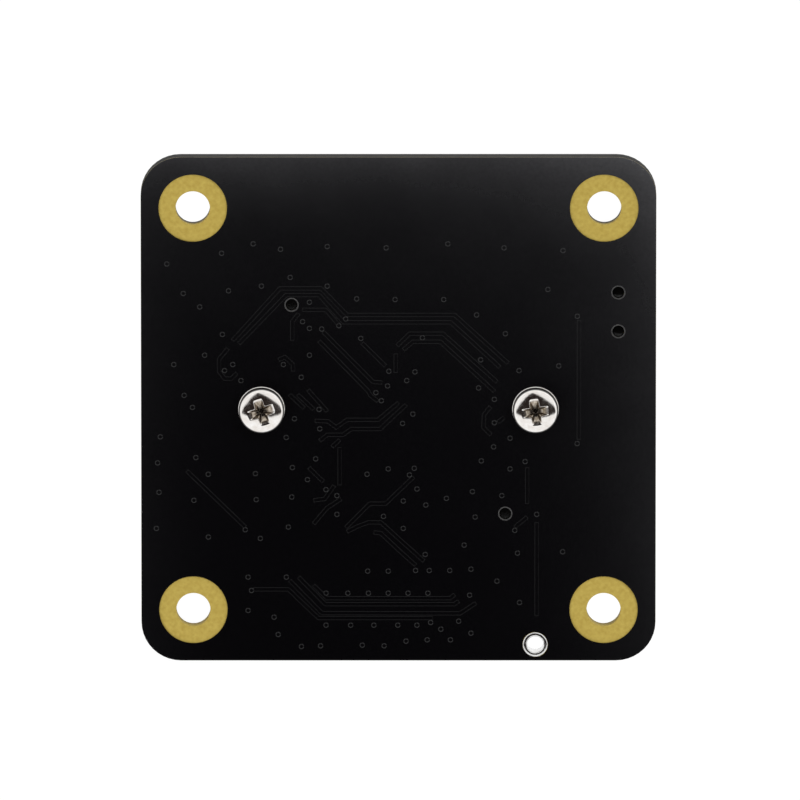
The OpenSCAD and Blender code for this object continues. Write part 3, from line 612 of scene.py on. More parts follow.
def glass_finish(name, tint, film, **plain):
    """Polished glass under a thin film, with a little fine dust."""
    made = Finish(name, Transmission_Weight=1.0, Thin_Film_Thickness=film, Thin_Film_IOR=1.38, **plain)
    cloud, _ = made.grain(2.5, 0, 2)
    dust, _ = made.grain(0.09, 0, 2)
    paler = tuple(0.6*value + 0.4 for value in tint)
    return made.done(made.mottle(cloud, tint, paler),
                     made.math("MULTIPLY", made.math("GREATER_THAN", dust, 0.74), 0.3))


eased_piece("sensor_tray", "image_sensor", 0.05,
            grained("black_ceramic", (0.030, 0.028, 0.038), (0.055, 0.052, 0.064), (0.35, 0.52),
                    0.10, 0.004))
block_piece("sensor_silicon", "sensor_die", 0.02, die_finish(), flats=False)
block_piece("sensor_window", "sensor_cover_glass", 0.04,
            glass_finish("clear_window", (0.90, 0.95, 0.96), 110.0, IOR=1.5))

# ---- Solder ----
# Every part on the front stands on tinned pads, and solder draws up its ends in a hollow curve.
# The sensor's tray shows it all round, in short fillets along each side.
solder = grained("solder", (0.52, 0.52, 0.53), (0.80, 0.80, 0.79), (0.20, 0.40), 0.15, 0.008, Metallic=1.0)
pad_t = 0.03


def draw_out(bm, way, rise, draw_x, draw_y):
    """Extrudes the flat end that lies furthest up (way 1) or down (-1), and draws it in."""
    end = max(way*vert.co.z for vert in bm.verts)
    faces = [face for face in bm.faces if all(abs(way*vert.co.z - end) < 1e-6 for vert in face.verts)]
    from_solid = len(faces) < len(bm.faces)
    made = bmesh.ops.extrude_face_region(bm, geom=faces)["geom"]
    if from_solid:
        bmesh.ops.delete(bm, geom=faces, context="FACES")
    verts = verts_in(made)
    bmesh.ops.translate(bm, verts=verts, vec=(0, 0, way*rise))
    bmesh.ops.scale(bm, verts=verts, vec=(draw_x, draw_y, 1))


def fillet_shape():
    """One fillet, a unit wide, long and high, on its foot against the face at x = 0."""
    bm = bmesh.new()
    bmesh.ops.create_grid(bm, x_segments=1, y_segments=3, size=0.5, matrix=Matrix.Translation((0.5, 0, 0)))
    for rise, draw in ((0.06, 0.92), (0.14, 0.72), (0.25, 0.58), (0.55, 0.30)):
        draw_out(bm, 1, rise, draw, 0.97)
    mesh = bpy.data.meshes.new("fillet")
    bm.to_mesh(mesh)
    bm.free()
    return mesh


fillet = fillet_shape()


def solder_to(bm, x, y, out, width, reach, height):
    """Solder on the board's front, from a face at (x, y) towards out, with its pad below."""
    turn = Matrix.Translation((x, y, front_z)) @ Matrix.Rotation(math.atan2(out[1], out[0]), 4, "Z")
    before = set(bm.verts)
    bm.from_mesh(fillet)
    bmesh.ops.transform(bm, matrix=turn @ Matrix.Diagonal((reach, width, -height, 1)),
                        verts=[vert for vert in bm.verts if vert not in before])
    before = set(bm.verts)
    block(bm, (-0.08, -width/2 - 0.05, -pad_t), (reach + 0.07, width/2 + 0.05, 0), 0.012, 1)
    bmesh.ops.transform(bm, matrix=turn, verts=[vert for vert in bm.verts if vert not in before])


def solder_sides(name, node, sides, count, pitch, width, reach, rise):
    """Rows of small joints along the sides of a part that face along X, along Y or both."""
    low, high = node_box(node)
    middle = (low + high)/2
    bm = bmesh.new()
    for i in range(count):
        step = (i - (count - 1)/2)*pitch
        for way, end in ((-1, low), (1, high)):
            if "X" in sides:
                solder_to(bm, end.x, middle.y + step, (way, 0), width, reach, rise)
            if "Y" in sides:
                solder_to(bm, middle.x + step, end.y, (0, way), width, reach, rise)
    make_piece(name, bm, solder)


solder_sides("sensor_solder", "image_sensor", "XY", 9, 0.8, 0.4, 0.22, 0.3)

# ---- Video controller ----
# A flat square chip without leads, moulded in black resin, that decodes the sensor's picture.
# Its terminals end flush with its sides, and each shows a small solder fillet.
chip_resin = grained("chip_resin", (0.014, 0.014, 0.015), (0.030, 0.030, 0.031), (0.45, 0.65),
                     0.10, 0.006, 4)
eased_piece("controller_body", "video_controller", 0.03, chip_resin)
solder_sides("controller_solder", "video_controller", "XY", 12, 0.4, 0.22, 0.26, 0.16)

# ---- Flash memory ----
# A narrow moulded chip on eight bent leads, beside the controller whose program it keeps.
# Its leads are stamped copper under matt tin, bent out, down and flat on their pads.
def node_solids(node):
    """The box of each separate solid in a CAD node, in millimetres, in a fixed order."""
    bm = bmesh.new()
    bm.from_mesh(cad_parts[node].data)
    bmesh.ops.remove_doubles(bm, verts=bm.verts, dist=1e-7)
    left, boxes = set(bm.verts), []
    while left:
        stack, island = [left.pop()], []
        while stack:
            vert = stack.pop()
            island.append(vert.co/MM)
            for other in (edge.other_vert(vert) for edge in vert.link_edges):
                if other in left:
                    left.remove(other)
                    stack.append(other)
        boxes.append(tuple(Vector([pick(co[axis] for co in island) for axis in range(3)])
                           for pick in (min, max)))
    bm.free()
    return sorted(boxes, key=lambda box: [round(value, 2) for value in box[0]])


def ends_of(low, high):
    """The middles of a chip's or a lead's two ends, with the way each one faces and its width."""
    size, middle = high - low, (low + high)/2
    if size.x > size.y:
        return [(low.x, middle.y, (-1, 0), size.y), (high.x, middle.y, (1, 0), size.y)]
    return [(middle.x, low.y, (0, -1), size.x), (middle.x, high.y, (0, 1), size.x)]


def solder_toes(name, leads, bodies):
    """Solder at the toe of each bent lead, on the side away from its chip's body."""
    centres = [(low + high)/2 for low, high in node_solids(bodies)]
    bm = bmesh.new()
    for low, high in node_solids(leads):
        middle = (low + high)/2
        centre = min(centres, key=lambda place: (place - middle).length)
        for x, y, out, width in ends_of(low, high):
            if (x - centre.x)*out[0] + (y - centre.y)*out[1] > (middle - centre).xy.dot(Vector(out)):
                solder_to(bm, x, y, out, width, 0.18, 0.13)
    make_piece(name, bm, solder)


matt_tin = grained("matt_tin", (0.50, 0.50, 0.50), (0.70, 0.70, 0.69), (0.30, 0.46), 0.12, 0.006,
                   Metallic=1.0)
eased_piece("flash_body", "flash_memory", 0.04, chip_resin)
eased_piece("flash_bent_leads", "flash_leads", 0.03, matt_tin)
solder_toes("flash_solder", "flash_leads", "flash_memory")

# ---- Voltage regulators ----
# Three small moulded chips that make the sensor's supplies, in the same black resin.
# Each stands on five bent tinned leads, soldered at their toes.
eased_piece("regulator_bodies", "regulators", 0.03, chip_resin)
eased_piece("regulator_bent_leads", "regulator_leads", 0.025, matt_tin)
solder_toes("regulator_solder", "regulator_leads", "regulators")

# ---- Clock crystal ----
# A pale ceramic tray with a nickelled lid seam-welded over the quartz blank inside.
# Brushing from the weld leaves the lid satin along its length.
def brushed_finish():
    """Nickelled sheet: fine long scratches along X under a soft mottle."""
    made = Finish("brushed_lid", Metallic=1.0)
    along = made.node("ShaderNodeMapping", i0=made.place, Scale=(0.06, 1, 1)).outputs[0]
    mask, normal = made.grain(0.05, 0.003, 3, along)
    return made.done(made.mottle(mask, (0.58, 0.56, 0.52), (0.78, 0.76, 0.72)),
                     made.spread(mask, 0.22, 0.38), normal)


eased_piece("crystal_tray", "crystal_base", 0.04,
            grained("pale_ceramic", (0.22, 0.20, 0.17), (0.36, 0.33, 0.29), (0.5, 0.7), 0.12, 0.005))
eased_piece("crystal_cover", "crystal_lid", 0.06, brushed_finish(), segments=3)
solder_sides("crystal_solder", "crystal_base", "X", 2, 1.3, 0.8, 0.3, 0.25)

# ---- Power inductor ----
# A ferrite spool wound with enamelled copper, glued inside a square ferrite shield.
# The shield is pressed and sintered, so it is matt and its corners are slightly chipped.
ferrite = grained("ferrite", (0.045, 0.044, 0.046), (0.090, 0.088, 0.086), (0.50, 0.75), 0.10, 0.012, 5)
eased_piece("inductor_shell", "inductor_shield", 0.08, ferrite)
eased_piece("inductor_spool", "inductor_drum", 0.05, ferrite, flats=False)
low, high = node_box("inductor_winding")
coil_x, coil_y = (low.x + high.x)/2, (low.y + high.y)/2
coil_r, turns = (high.x - low.x)/2, 5
wire_r = (high.z - low.z)/turns/2
outline = [(0.55*coil_r, high.z), (0.55*coil_r, low.z)]
for i in range(turns):
    middle = low.z + wire_r*(2*i + 1)
    outline += [(coil_r - wire_r + wire_r*math.sin(math.pi*j/6), middle - wire_r*math.cos(math.pi*j/6))
                for j in range(1, 6)]
bm = bmesh.new()
lathe(bm, outline, coil_x, coil_y, 48)
make_piece("inductor_coil", bm,
           grained("enamelled_copper", (0.42, 0.13, 0.045), (0.62, 0.25, 0.10), (0.18, 0.32), 0.12, 0.003,
                   Metallic=0.9, Coat_Weight=0.5), ["inductor_winding"], sharp=70)
solder_sides("inductor_solder", "inductor_shield", "Y", 1, 0, 2.2, 0.35, 0.35)

# ---- Bulk capacitors ----
# Two tantalum capacitors moulded in mustard resin, with a brown bar at the plus end.
# A tinned strap is folded up each end and under the foot.
def tantalum_finish():
    """Mustard resin with the printed bar; the bar's place follows each body's own plus end."""
    made = Finish("mustard_resin")
    x, y, _ = made.axes()
    mask, normal = made.grain(0.14, 0.006, 4)
    resin = made.mottle(mask, (0.56, 0.31, 0.045), (0.70, 0.43, 0.085))

    def near(value, middle, reach):
        off = made.math("ABSOLUTE", made.math("SUBTRACT", value, middle*MM))
        return made.math("LESS_THAN", off, reach*MM)

    bars = 0.0
    for low, high in node_solids("bulk_capacitors"):
        bar = made.math("MULTIPLY", near(x, (low.x + high.x)/2, 1.3), near(y, high.y - 0.62, 0.22))
        bars = made.math("ADD", bars, bar)
    return made.done(made.blend(bars, resin, (0.12, 0.045, 0.02)), made.spread(mask, 0.40, 0.58), normal)


def solder_ends(name, node, reach, rise):
    """Solder at both ends of each chip in a node; rise is its share of the chip's height."""
    bm = bmesh.new()
    for low, high in node_solids(node):
        for x, y, out, width in ends_of(low, high):
            solder_to(bm, x, y, out, width, reach, rise*(high.z - low.z))
    make_piece(name, bm, solder)


eased_piece("bulk_bodies", "bulk_capacitors", 0.06, tantalum_finish())
strap_w, strap_t = 2.2, 0.06
bm = bmesh.new()
for low, high in node_solids("bulk_capacitors"):
    middle = (low + high)/2
    for y in (low.y, high.y):
        block(bm, (middle.x - strap_w/2, y - strap_t/2, high.z - 0.95),
              (middle.x + strap_w/2, y + strap_t/2, high.z - 0.01), 0.02)
make_piece("bulk_straps", bm, matt_tin, flats=True)
solder_ends("bulk_solder", "bulk_capacitors", 0.45, 0.25)

# ---- Ceramic capacitors ----
# Fired tan chips with wrapped ends of tinned silver, a little thicker than the body between.
# They stand beside each chip they serve.
def wrapped_chips(name, node, easing, body, end_share):
    """Two-ended chips from a node's boxes: a body between two wrapped ends."""
    bodies, ends = bmesh.new(), bmesh.new()
    for low, high in node_solids(node):
        axis = 0 if high.x - low.x > high.y - low.y else 1
        slack = Vector((0.02, 0.02, 0.02))
        block(bodies, low + slack, high - slack, easing)
        length = (high[axis] - low[axis])*end_share
        inner_low, inner_high = high.copy(), low.copy()
        inner_low[axis], inner_high[axis] = low[axis] + length, high[axis] - length
        block(ends, low, inner_low, easing)
        block(ends, inner_high, high, easing)
    make_piece(f"{name}_bodies", bodies, body, [node], flats=True)
    make_piece(f"{name}_ends", ends, matt_tin, [node], flats=True)


wrapped_chips("capacitor", "ceramic_capacitors", 0.06,
              grained("fired_tan", (0.34, 0.22, 0.12), (0.48, 0.34, 0.21), (0.30, 0.48), 0.15, 0.004),
              0.23)
solder_ends("capacitor_solder", "ceramic_capacitors", 0.30, 0.6)

# ---- Chip resistors ----
# White alumina chips with a printed film, under black glass glaze on the side away from the board.
# Their ends are wrapped and tinned, and stand soldered on pads as the capacitors do.
def glazed_finish():
    """Alumina that turns to black glaze on the face away from the board."""
    made = Finish("glazed_alumina")
    _, _, z = made.axes()
    mask, normal = made.grain(0.08, 0.004, 3)
    glaze_z = (node_box("chip_resistors")[0].z + 0.07)*MM
    glazed = made.math("LESS_THAN", z, glaze_z)
    alumina = made.mottle(mask, (0.66, 0.65, 0.62), (0.80, 0.79, 0.77))
    return made.done(made.blend(glazed, alumina, (0.018, 0.018, 0.022)),
                     made.spread(mask, 0.25, 0.42), normal)


wrapped_chips("resistor", "chip_resistors", 0.03, glazed_finish(), 0.22)
solder_ends("resistor_solder", "chip_resistors", 0.22, 0.6)

# ---- Ferrite beads ----
# Two dark sintered chips in the supply lines beside the connector, which keep noise off the cord.
# Their ends are wrapped in silver and tinned like the capacitors' ends.
wrapped_chips("bead", "ferrite_beads", 0.05, ferrite, 0.22)
solder_ends("bead_solder", "ferrite_beads", 0.30, 0.55)

# ---- Surge protector ----
# A thin leadless chip of black resin across the data lines, next to the connector's tails.
# Ten terminals end flush with its long sides, five to a side, each soldered to its pad.
eased_piece("surge_body", "esd_array", 0.025, chip_resin)
solder_sides("surge_solder", "esd_array", "X", 5, 0.5, 0.24, 0.22, 0.12)

# ---- Status light ----
# A pale laminate base with a block of clear yellowish resin moulded over the light's tiny die.
# It stands flat on the board's front and is soldered at both ends.
low, high = node_box("status_led")
base_z = high.z - 0.3
bm = bmesh.new()
block(bm, (low.x, low.y, base_z), high, 0.03)
make_piece("light_base", bm,
           grained("pale_laminate", (0.62, 0.60, 0.52), (0.78, 0.76, 0.68), (0.45, 0.62), 0.1, 0.004),
           ["status_led"], flats=True)
bm = bmesh.new()
block(bm, (low.x + 0.25, low.y + 0.01, low.z), (high.x - 0.25, high.y - 0.01, base_z - 0.002), 0.04)
make_piece("light_lens", bm,
           grained("clear_resin", (0.80, 0.74, 0.46), (0.90, 0.86, 0.62), (0.16, 0.28), 0.3, 0.002,
                   Transmission_Weight=0.6, IOR=1.5), ["status_led"], flats=True)
solder_ends("light_solder", "status_led", 0.28, 0.3)

# ---- Traces and vias on the front ----
# The same masked copper lines tie the controller to the sensor, the memory and the connector.
# Supplies run in from the connector past the beads to the regulators.
front_traces = [
    [(-2.2, -10.8), (-2.2, -9.4)], [(-1.4, -10.8), (-1.4, -9.4)],
    [(-6.4, -12.6), (-8.9, -10.4), (-13.4, -10.4), (-14.6, -9.2), (-14.6, 2.6)],
    [(-6.4, -13.0), (-9.0, -11.2), (-13.0, -11.2), (-15.3, -9.0)],
    [(0.4, -13.6), (1.6, -13.6), (2.1, -14.1)], [(0.4, -14.8), (1.6, -14.8), (2.1, -14.4)],
    [(13.0, -9.3), (13.0, 4.6)], [(11.2, -10.4), (12.4, -9.2), (12.4, 1.6)],
    [(13.6, -1.6), (15.0, -0.2)], [(16.4, 2.2), (16.4, 3.2), (13.9, 4.8)],
    [(10.8, 7.9), (9.8, 8.9), (9.8, 10.6), (7.4, 12.4)],
    [(10.8, 7.4), (9.9, 8.2)], [(-5.4, 12.0), (-2.6, 10.2), (2.6, 10.2), (4.4, 11.9)],
    [(-10.4, 11.6), (-11.6, 10.4), (-11.6, 8.0)],
    [(-13.0, 9.6), (-13.0, 6.8)], [(-12.6, -0.6), (-12.6, -4.8)],
]
ridges("front_traces", front_traces, front_z, -1)
front_vias = [
    (-14.6, 3.2), (-15.7, -8.7), (13.0, 5.2), (12.4, 2.2), (13.3, -1.9), (-2.2, 9.9), (9.5, 10.9),
    (-13.0, 6.3), (-12.6, -5.3), (7.6, -9.6), (6.2, -9.7), (-9.6, 9.9), (12.9, -12.6), (-11.9, -11.9),
    (2.7, -11.0), (-16.9, -13.2), (16.8, -12.4), (-6.9, 17.3), (4.9, 17.4), (-4.0, -9.7),
]
collars("front_vias", front_vias, front_z, -1)

# ---- Connector ----
# A four-way side-entry socket of black nylon, held by two pegs through the board and two tabs.
# Its pins are bent from flat gold-flashed wire; the stamped tabs are tinned.
def moulding_finish(name, dark, light, rough, size, relief, **plain):
    """Black moulded resin: grained all over; on the pegs' tips, down in their holes, it is smoother and
    painted near black as shade.
    """
    made = Finish(name, **plain)
    mask, normal = made.grain(size, relief, 4)
    _, _, z = made.axes()
    # painted shade: the pegs' tips down in the board's holes are turned near black
    tip = made.math("GREATER_THAN", z, (front_z + 0.2)*MM)
    roughness = made.math("SUBTRACT", made.spread(mask, *rough), made.math("MULTIPLY", tip, 0.36))
    resin = made.mottle(mask, dark, light)
    return made.done(made.blend(tip, resin, (0.001, 0.001, 0.001)), roughness, normal)


moulded_nylon = moulding_finish("moulded_nylon", (0.009, 0.008, 0.008), (0.021, 0.019, 0.018), (0.40, 0.58),
                                0.12, 0.006, Specular_IOR_Level=0.3)
eased_piece("socket_housing", "connector_housing", 0.06, moulded_nylon)
eased_piece("socket_pins", "connector_contacts", 0.04,
            grained("gold_flash", (0.62, 0.47, 0.19), (0.80, 0.66, 0.34), (0.16, 0.28), 0.2, 0.003,
                    Metallic=1.0))
eased_piece("socket_tabs", "connector_tabs", 0.04, matt_tin)
bm = bmesh.new()
for low, high in node_solids("connector_contacts"):
    solder_to(bm, low.x, (low.y + high.y)/2, (-1, 0), high.y - low.y, 0.30, 0.26)
for low, high in node_solids("connector_tabs"):
    out = 1 if low.y > socket_y else -1
    solder_to(bm, (low.x + high.x)/2, high.y if out > 0 else low.y, (0, out), high.x - low.x, 0.35, 0.22)
make_piece("socket_solder", bm, solder)

# ---- Infrared filter ----
# A square of tinted glass glued under the holder's ledge, between the lens and the sensor.
# Its thin film passes visible light and sends infrared back, which gives the cyan and pink tints.
block_piece("filter_glass", "ir_filter", 0.05,
            glass_finish("filter_glass", (0.45, 0.78, 0.76), 520.0, IOR=1.52))

# ---- Lens holder ----
# One black moulding: a square foot with two screw ears, a tall collar for the lens and two pegs.
# Its faces carry the mould's fine spark texture and its edges a small radius.
spark_black = moulding_finish("spark_black", (0.008, 0.008, 0.009), (0.020, 0.020, 0.021), (0.50, 0.70),
                              0.09, 0.010, Specular_IOR_Level=0.3)
eased_piece("holder_moulding", "lens_holder", 0.10, spark_black, segments=3)

# ---- Lens holder screws ----
# Two M2 pan-head screws, cold-headed steel under bright nickel, with a cross recess.
# They pass through the board from its back and cut their thread in the holder's ears.
head_h = screw_high.z - back_z
head_r, flange_h = screw_r - 0.03, 0.12
dome_r, fillet_r = 3.2, 0.42
recess_reach, recess_half_w = 1.17, 0.37
shank_r, thread_root_r, shank_pitch = 1.0, 0.78, 0.4


def nickel_finish():
    """Bright nickel; down in the recess it is rougher, and painted shade turns it brownish and near black
    at the bottom.
    """
    made = Finish("bright_nickel", Metallic=1.0)
    x, y, z = made.axes()
    off = made.math("SUBTRACT", made.math("ABSOLUTE", x), screw_x*MM)
    square = made.math("ADD", made.math("MULTIPLY", off, off), made.math("MULTIPLY", y, y))
    dome = made.math("SUBTRACT", screw_high.z*MM, made.math("DIVIDE", square, 2*dome_r*MM))
    depth = made.math("SUBTRACT", dome, z)
    # painted shade: the recess darkens to brown with depth, and to near black at its bottom
    deep = made.ramp(depth, 0.06*MM, 0.15*MM)
    bottom = made.ramp(depth, 0.34*MM, 0.54*MM)
    inside = made.math("MULTIPLY", made.math("LESS_THAN", square, ((recess_reach + 0.08)*MM)**2),
                       made.math("GREATER_THAN", z, back_z*MM))
    recess = made.math("MULTIPLY", deep, inside)
    wear, normal = made.grain(0.40, 0.004)
    stain, _ = made.grain(0.25, 0, 4)
    plating = made.mottle(wear, (0.80, 0.755, 0.71), (0.93, 0.91, 0.885))
    shade_brown = made.mottle(stain, (0.13, 0.095, 0.05), (0.62, 0.55, 0.47))
    shaded_recess_colour = made.blend(bottom, shade_brown, (0.03, 0.025, 0.02))
    roughness = made.math("ADD", made.spread(wear, 0.08, 0.17), made.math("MULTIPLY", recess, 0.12))
    return made.done(made.blend(recess, plating, shaded_recess_colour), roughness, normal)


bright_nickel = nickel_finish()


def head_outline():
    """From the dome's middle, round the rim and down the upright band to the flange."""
    points = []
    meet = math.asin((head_r - fillet_r)/(dome_r - fillet_r))
    for i in range(13):
        turn = meet*i/12
        points.append((dome_r*math.sin(turn), back_z + head_h - dome_r*(1 - math.cos(turn))))
    middle_r, middle_z = [value - fillet_r*part for value, part in
                          zip(points[-1], (math.sin(meet), math.cos(meet)))]
    for i in range(1, 9):
        turn = meet + (math.pi/2 - meet)*i/8
        points.append((middle_r + fillet_r*math.sin(turn), middle_z + fillet_r*math.cos(turn)))
    return points + [(head_r, back_z + 0.02), (0, back_z + 0.02)]


def shank_outline():
    """A thin flange with a round edge, then the zigzag of the thread down to the tip."""
    top, z = back_z + flange_h, back_z - 0.05
    points = [(0, top), (head_r - 0.02, top), (screw_r - 0.01, top - 0.04), (screw_r, top - 0.05),
              (screw_r, back_z + 0.015), (screw_r - 0.015, back_z), (shank_r + 0.05, back_z), (shank_r, z)]
    while z - shank_pitch > screw_low.z + 0.25:
        points += [(shank_r, z - 0.1), (thread_root_r, z - 0.25), (thread_root_r, z - 0.3),
                   (shank_r, z - shank_pitch)]
        z -= shank_pitch
    return points + [(thread_root_r, screw_low.z + 0.15), (0.6, screw_low.z), (0, screw_low.z)]


def punched(piece_bm, punch_bm):
    """Takes the punch's shape out of the piece, then rounds every edge a little, as plating does."""
    pair = []
    for bm in (piece_bm, punch_bm):
        close_shells(bm)
        pair.append(as_object("blank", bm))
    cut = pair[0].modifiers.new("cut", "BOOLEAN")
    cut.operation, cut.solver, cut.object = "DIFFERENCE", "EXACT", pair[1]
    remesh = pair[0].modifiers.new("remesh", "REMESH")
    remesh.mode, remesh.voxel_size = "VOXEL", 0.025
    smooth = pair[0].modifiers.new("smooth", "SMOOTH")
    smooth.factor, smooth.iterations = 0.5, 5
    bpy.context.view_layer.update()
    left = bmesh.new()
    left.from_mesh(pair[0].evaluated_get(bpy.context.evaluated_depsgraph_get()).to_mesh())
    for blank in pair:
        bpy.data.objects.remove(blank)
    return left


def cross_punch(x, turn):
    """The punch of the recess: four wings that narrow and draw in towards a blunt point."""
    bm = bmesh.new()
    bmesh.ops.create_grid(bm, x_segments=1, y_segments=1, size=recess_half_w)
    for edge in bm.edges[:]:
        outward = (edge.verts[0].co + edge.verts[1].co).normalized()
        wing = verts_in(bmesh.ops.extrude_edge_only(bm, edges=[edge])["geom"])
        bmesh.ops.translate(bm, verts=wing, vec=outward*(recess_reach - recess_half_w))
    above = 0.2
    for depth, shrink in ((above, 1), (0.15, 0.88), (0.13, 0.68), (0.20, 0.55), (0.05, 0.50), (0.12, 0.40)):
        draw_out(bm, -1, depth, shrink, shrink)
    bmesh.ops.rotate(bm, verts=bm.verts, cent=(0, 0, 0), matrix=Matrix.Rotation(math.radians(turn), 3, "Z"))
    bmesh.ops.translate(bm, verts=bm.verts, vec=(x, 0, back_z + head_h + above))
    return bm


for side, (x, y), turn in zip(("left", "right"), screw_holes, (18, 8)):
    head = bmesh.new()
    lathe(head, head_outline(), x, y, 128)
    make_piece(f"screw_head_{side}", punched(head, cross_punch(x, turn)), bright_nickel,
               ["holder_screws"], sharp=80)
shanks = bmesh.new()
for x, y in screw_holes:
    lathe(shanks, shank_outline(), x, y, 72)
make_piece("screw_shanks", shanks, bright_nickel, ["holder_screws"])

# ---- Lens barrel ----
# A turned aluminium barrel under black anodising: a wide head, and behind it a fine M12 thread.
# The tool's marks run round it, and the thread's crests are slightly worn.
def turned(name, dark, light, rough, size, relief, **plain):
    """A material whose marks run round the lens axis, as a lathe tool leaves them."""
    made = Finish(name, **plain)
    x, y, z = made.axes()
    radius = made.math("SQRT", made.math("ADD", made.math("MULTIPLY", x, x), made.math("MULTIPLY", y, y)))
    round_axis = made.node("ShaderNodeCombineXYZ", X=radius, Z=z).outputs[0]
    marks, normal = made.grain(size, relief, 3, round_axis)
    cloud, _ = made.grain(1.2, 0, 3)
    mask = made.math("ADD", made.math("MULTIPLY", marks, 0.6), made.math("MULTIPLY", cloud, 0.4))
    return made.done(made.mottle(mask, dark, light), made.spread(mask, *rough), normal)


black_anodised = turned("black_anodised", (0.010, 0.010, 0.011), (0.026, 0.026, 0.028), (0.28, 0.42),
                        0.06, 0.004, Metallic=0.35)
lens_r, lens_len = node_box("lens_barrel")[1].x, node_box("lens_barrel")[1].z
lens_head_len, groove_z, groove_depth = 4.6, 1.5, 0.10
thread_r, root_r, thread_pitch = 6.0, 5.72, 0.5
front_bore_r, middle_bore_r, rear_bore_r, rear_hole_r = 5.6, 4.7, 4.0, 3.2
front_shoulder_z, middle_shoulder_z, rear_lip_z = 3.95, 8.9, 15.6
outline = [(front_bore_r, 0.06), (front_bore_r + 0.06, 0), (lens_r - 0.45, 0), (lens_r - 0.36, 0.03),
           (lens_r - 0.03, 0.36), (lens_r, 0.45), (lens_r, groove_z),
           (lens_r - groove_depth, groove_z + 0.08), (lens_r - groove_depth, groove_z + 0.42),
           (lens_r, groove_z + 0.5), (lens_r, lens_head_len - 0.45), (lens_r - 0.03, lens_head_len - 0.36),
           (lens_r - 0.36, lens_head_len - 0.03), (lens_r - 0.45, lens_head_len), (root_r, lens_head_len),
           (root_r, lens_head_len + 0.15)]
z = lens_head_len + 0.2
while z + thread_pitch < lens_len - 0.5:
    outline += [(root_r, z + 0.04), (thread_r - 0.02, z + 0.20), (thread_r, z + 0.25),
                (thread_r - 0.02, z + 0.30), (root_r, z + 0.46)]
    z += thread_pitch
outline += [(root_r, lens_len - 0.15), (root_r - 0.12, lens_len), (rear_hole_r + 0.05, lens_len),
            (rear_hole_r, lens_len - 0.05), (rear_hole_r, rear_lip_z), (rear_bore_r, rear_lip_z),
            (rear_bore_r, middle_shoulder_z), (middle_bore_r, middle_shoulder_z),
            (middle_bore_r, front_shoulder_z), (front_bore_r, front_shoulder_z)]
bm = bmesh.new()
lathe(bm, outline, steps=128)
make_piece("turned_barrel", bm, black_anodised, ["lens_barrel"], sharp=50)

# ---- Lock ring ----
# A turned nut of the same black anodised aluminium, with notches milled round its rim for grip.
# It runs on the barrel's thread and is jammed against the holder's collar to hold the focus.
eased_piece("notched_ring", "lock_ring", 0.06, black_anodised)

# ---- Front ring ----
# A thin threaded ring of the same metal, screwed into the barrel's mouth to hold the glasses in.
# Two slots are milled across it for a spanner.
eased_piece("spanner_ring", "retaining_ring", 0.05, black_anodised)

# ---- Glasses ----
# Five ground glasses, each coated against reflections, which tints them violet and green.
# The third and fourth are cemented together; every rim has a small ground chamfer.
def arc(z, sag, seat_r, way, steps=14):
    """Points from the axis out to the seat on a round face; sag is above 0 where it bulges."""
    if not sag:
        return [(0, z), (seat_r, z)]
    ball_r = (seat_r**2 + sag**2)/(2*abs(sag))
    radii = [seat_r*i/steps for i in range(steps + 1)]
    drop = [abs(sag) - ball_r + math.sqrt(ball_r**2 - radius**2) for radius in radii]
    return [(radius, z + way*math.copysign(value, sag)) for radius, value in zip(radii, drop)]


glass_gap, chamfer = 0.05, 0.08
for name, node, film, tint, rim_r, front, rear in (
        # the front and rear faces are each (z, sag, seat radius)
        ("front_meniscus", "front_element", 120.0, (0.86, 0.90, 0.95), front_bore_r - glass_gap,
         (1.35, 0.85, 4.75), (front_shoulder_z, -1.6, 3.9)),
        ("second_meniscus", "second_element", 105.0, (0.88, 0.93, 0.92), middle_bore_r - glass_gap,
         (front_shoulder_z + 0.01, -0.9, 3.85), (6.4, 0.7, 3.85)),
        ("crown_glass", "doublet_crown", 130.0, (0.90, 0.92, 0.95), rear_bore_r - glass_gap,
         (9.61, 0, 3.15), (11.4, -0.65, 3.15)),
        ("flint_glass", "doublet_flint", 100.0, (0.93, 0.93, 0.90), rear_bore_r - glass_gap,
         (11.41, 0.65, 3.15), (12.6, -0.4, 3.15)),
        ("rear_glass", "rear_element", 115.0, (0.90, 0.93, 0.95), rear_bore_r - glass_gap,
         (14.41, 0.4, 3.15), (rear_lip_z, 0.5, 3.15))):
    rim = [(rim_r - chamfer, front[0]), (rim_r, front[0] + chamfer),
           (rim_r, rear[0] - chamfer), (rim_r - chamfer, rear[0])]
    bm = bmesh.new()
    lathe(bm, arc(*front, -1) + rim + arc(*rear, 1)[::-1], steps=96)
    make_piece(name, bm, glass_finish(name, tint, film, IOR=1.6), [node], sharp=30)

# ---- Spacers and stop ----
# Two blackened tubes set the gaps between the glasses; fine grooves inside them trap stray light.
# A thin blackened disc with a round opening sets how much light gets through.
stop_black = turned("stop_black", (0.004, 0.004, 0.004), (0.012, 0.012, 0.013), (0.55, 0.75), 0.08, 0.004)


def trap_tube(bm, outer_r, inner_r, z0, z1):
    """A tube whose bore is cut with sawtooth grooves."""
    groove, pitch = 0.12, 0.25
    outline = [(outer_r, z0), (outer_r, z1), (inner_r, z1)]
    z = z1
    while z - pitch > z0:
        outline += [(inner_r + groove, z - 0.02), (inner_r, z - pitch + 0.02)]
        z -= pitch
    lathe(bm, outline + [(inner_r, z0)], steps=96)


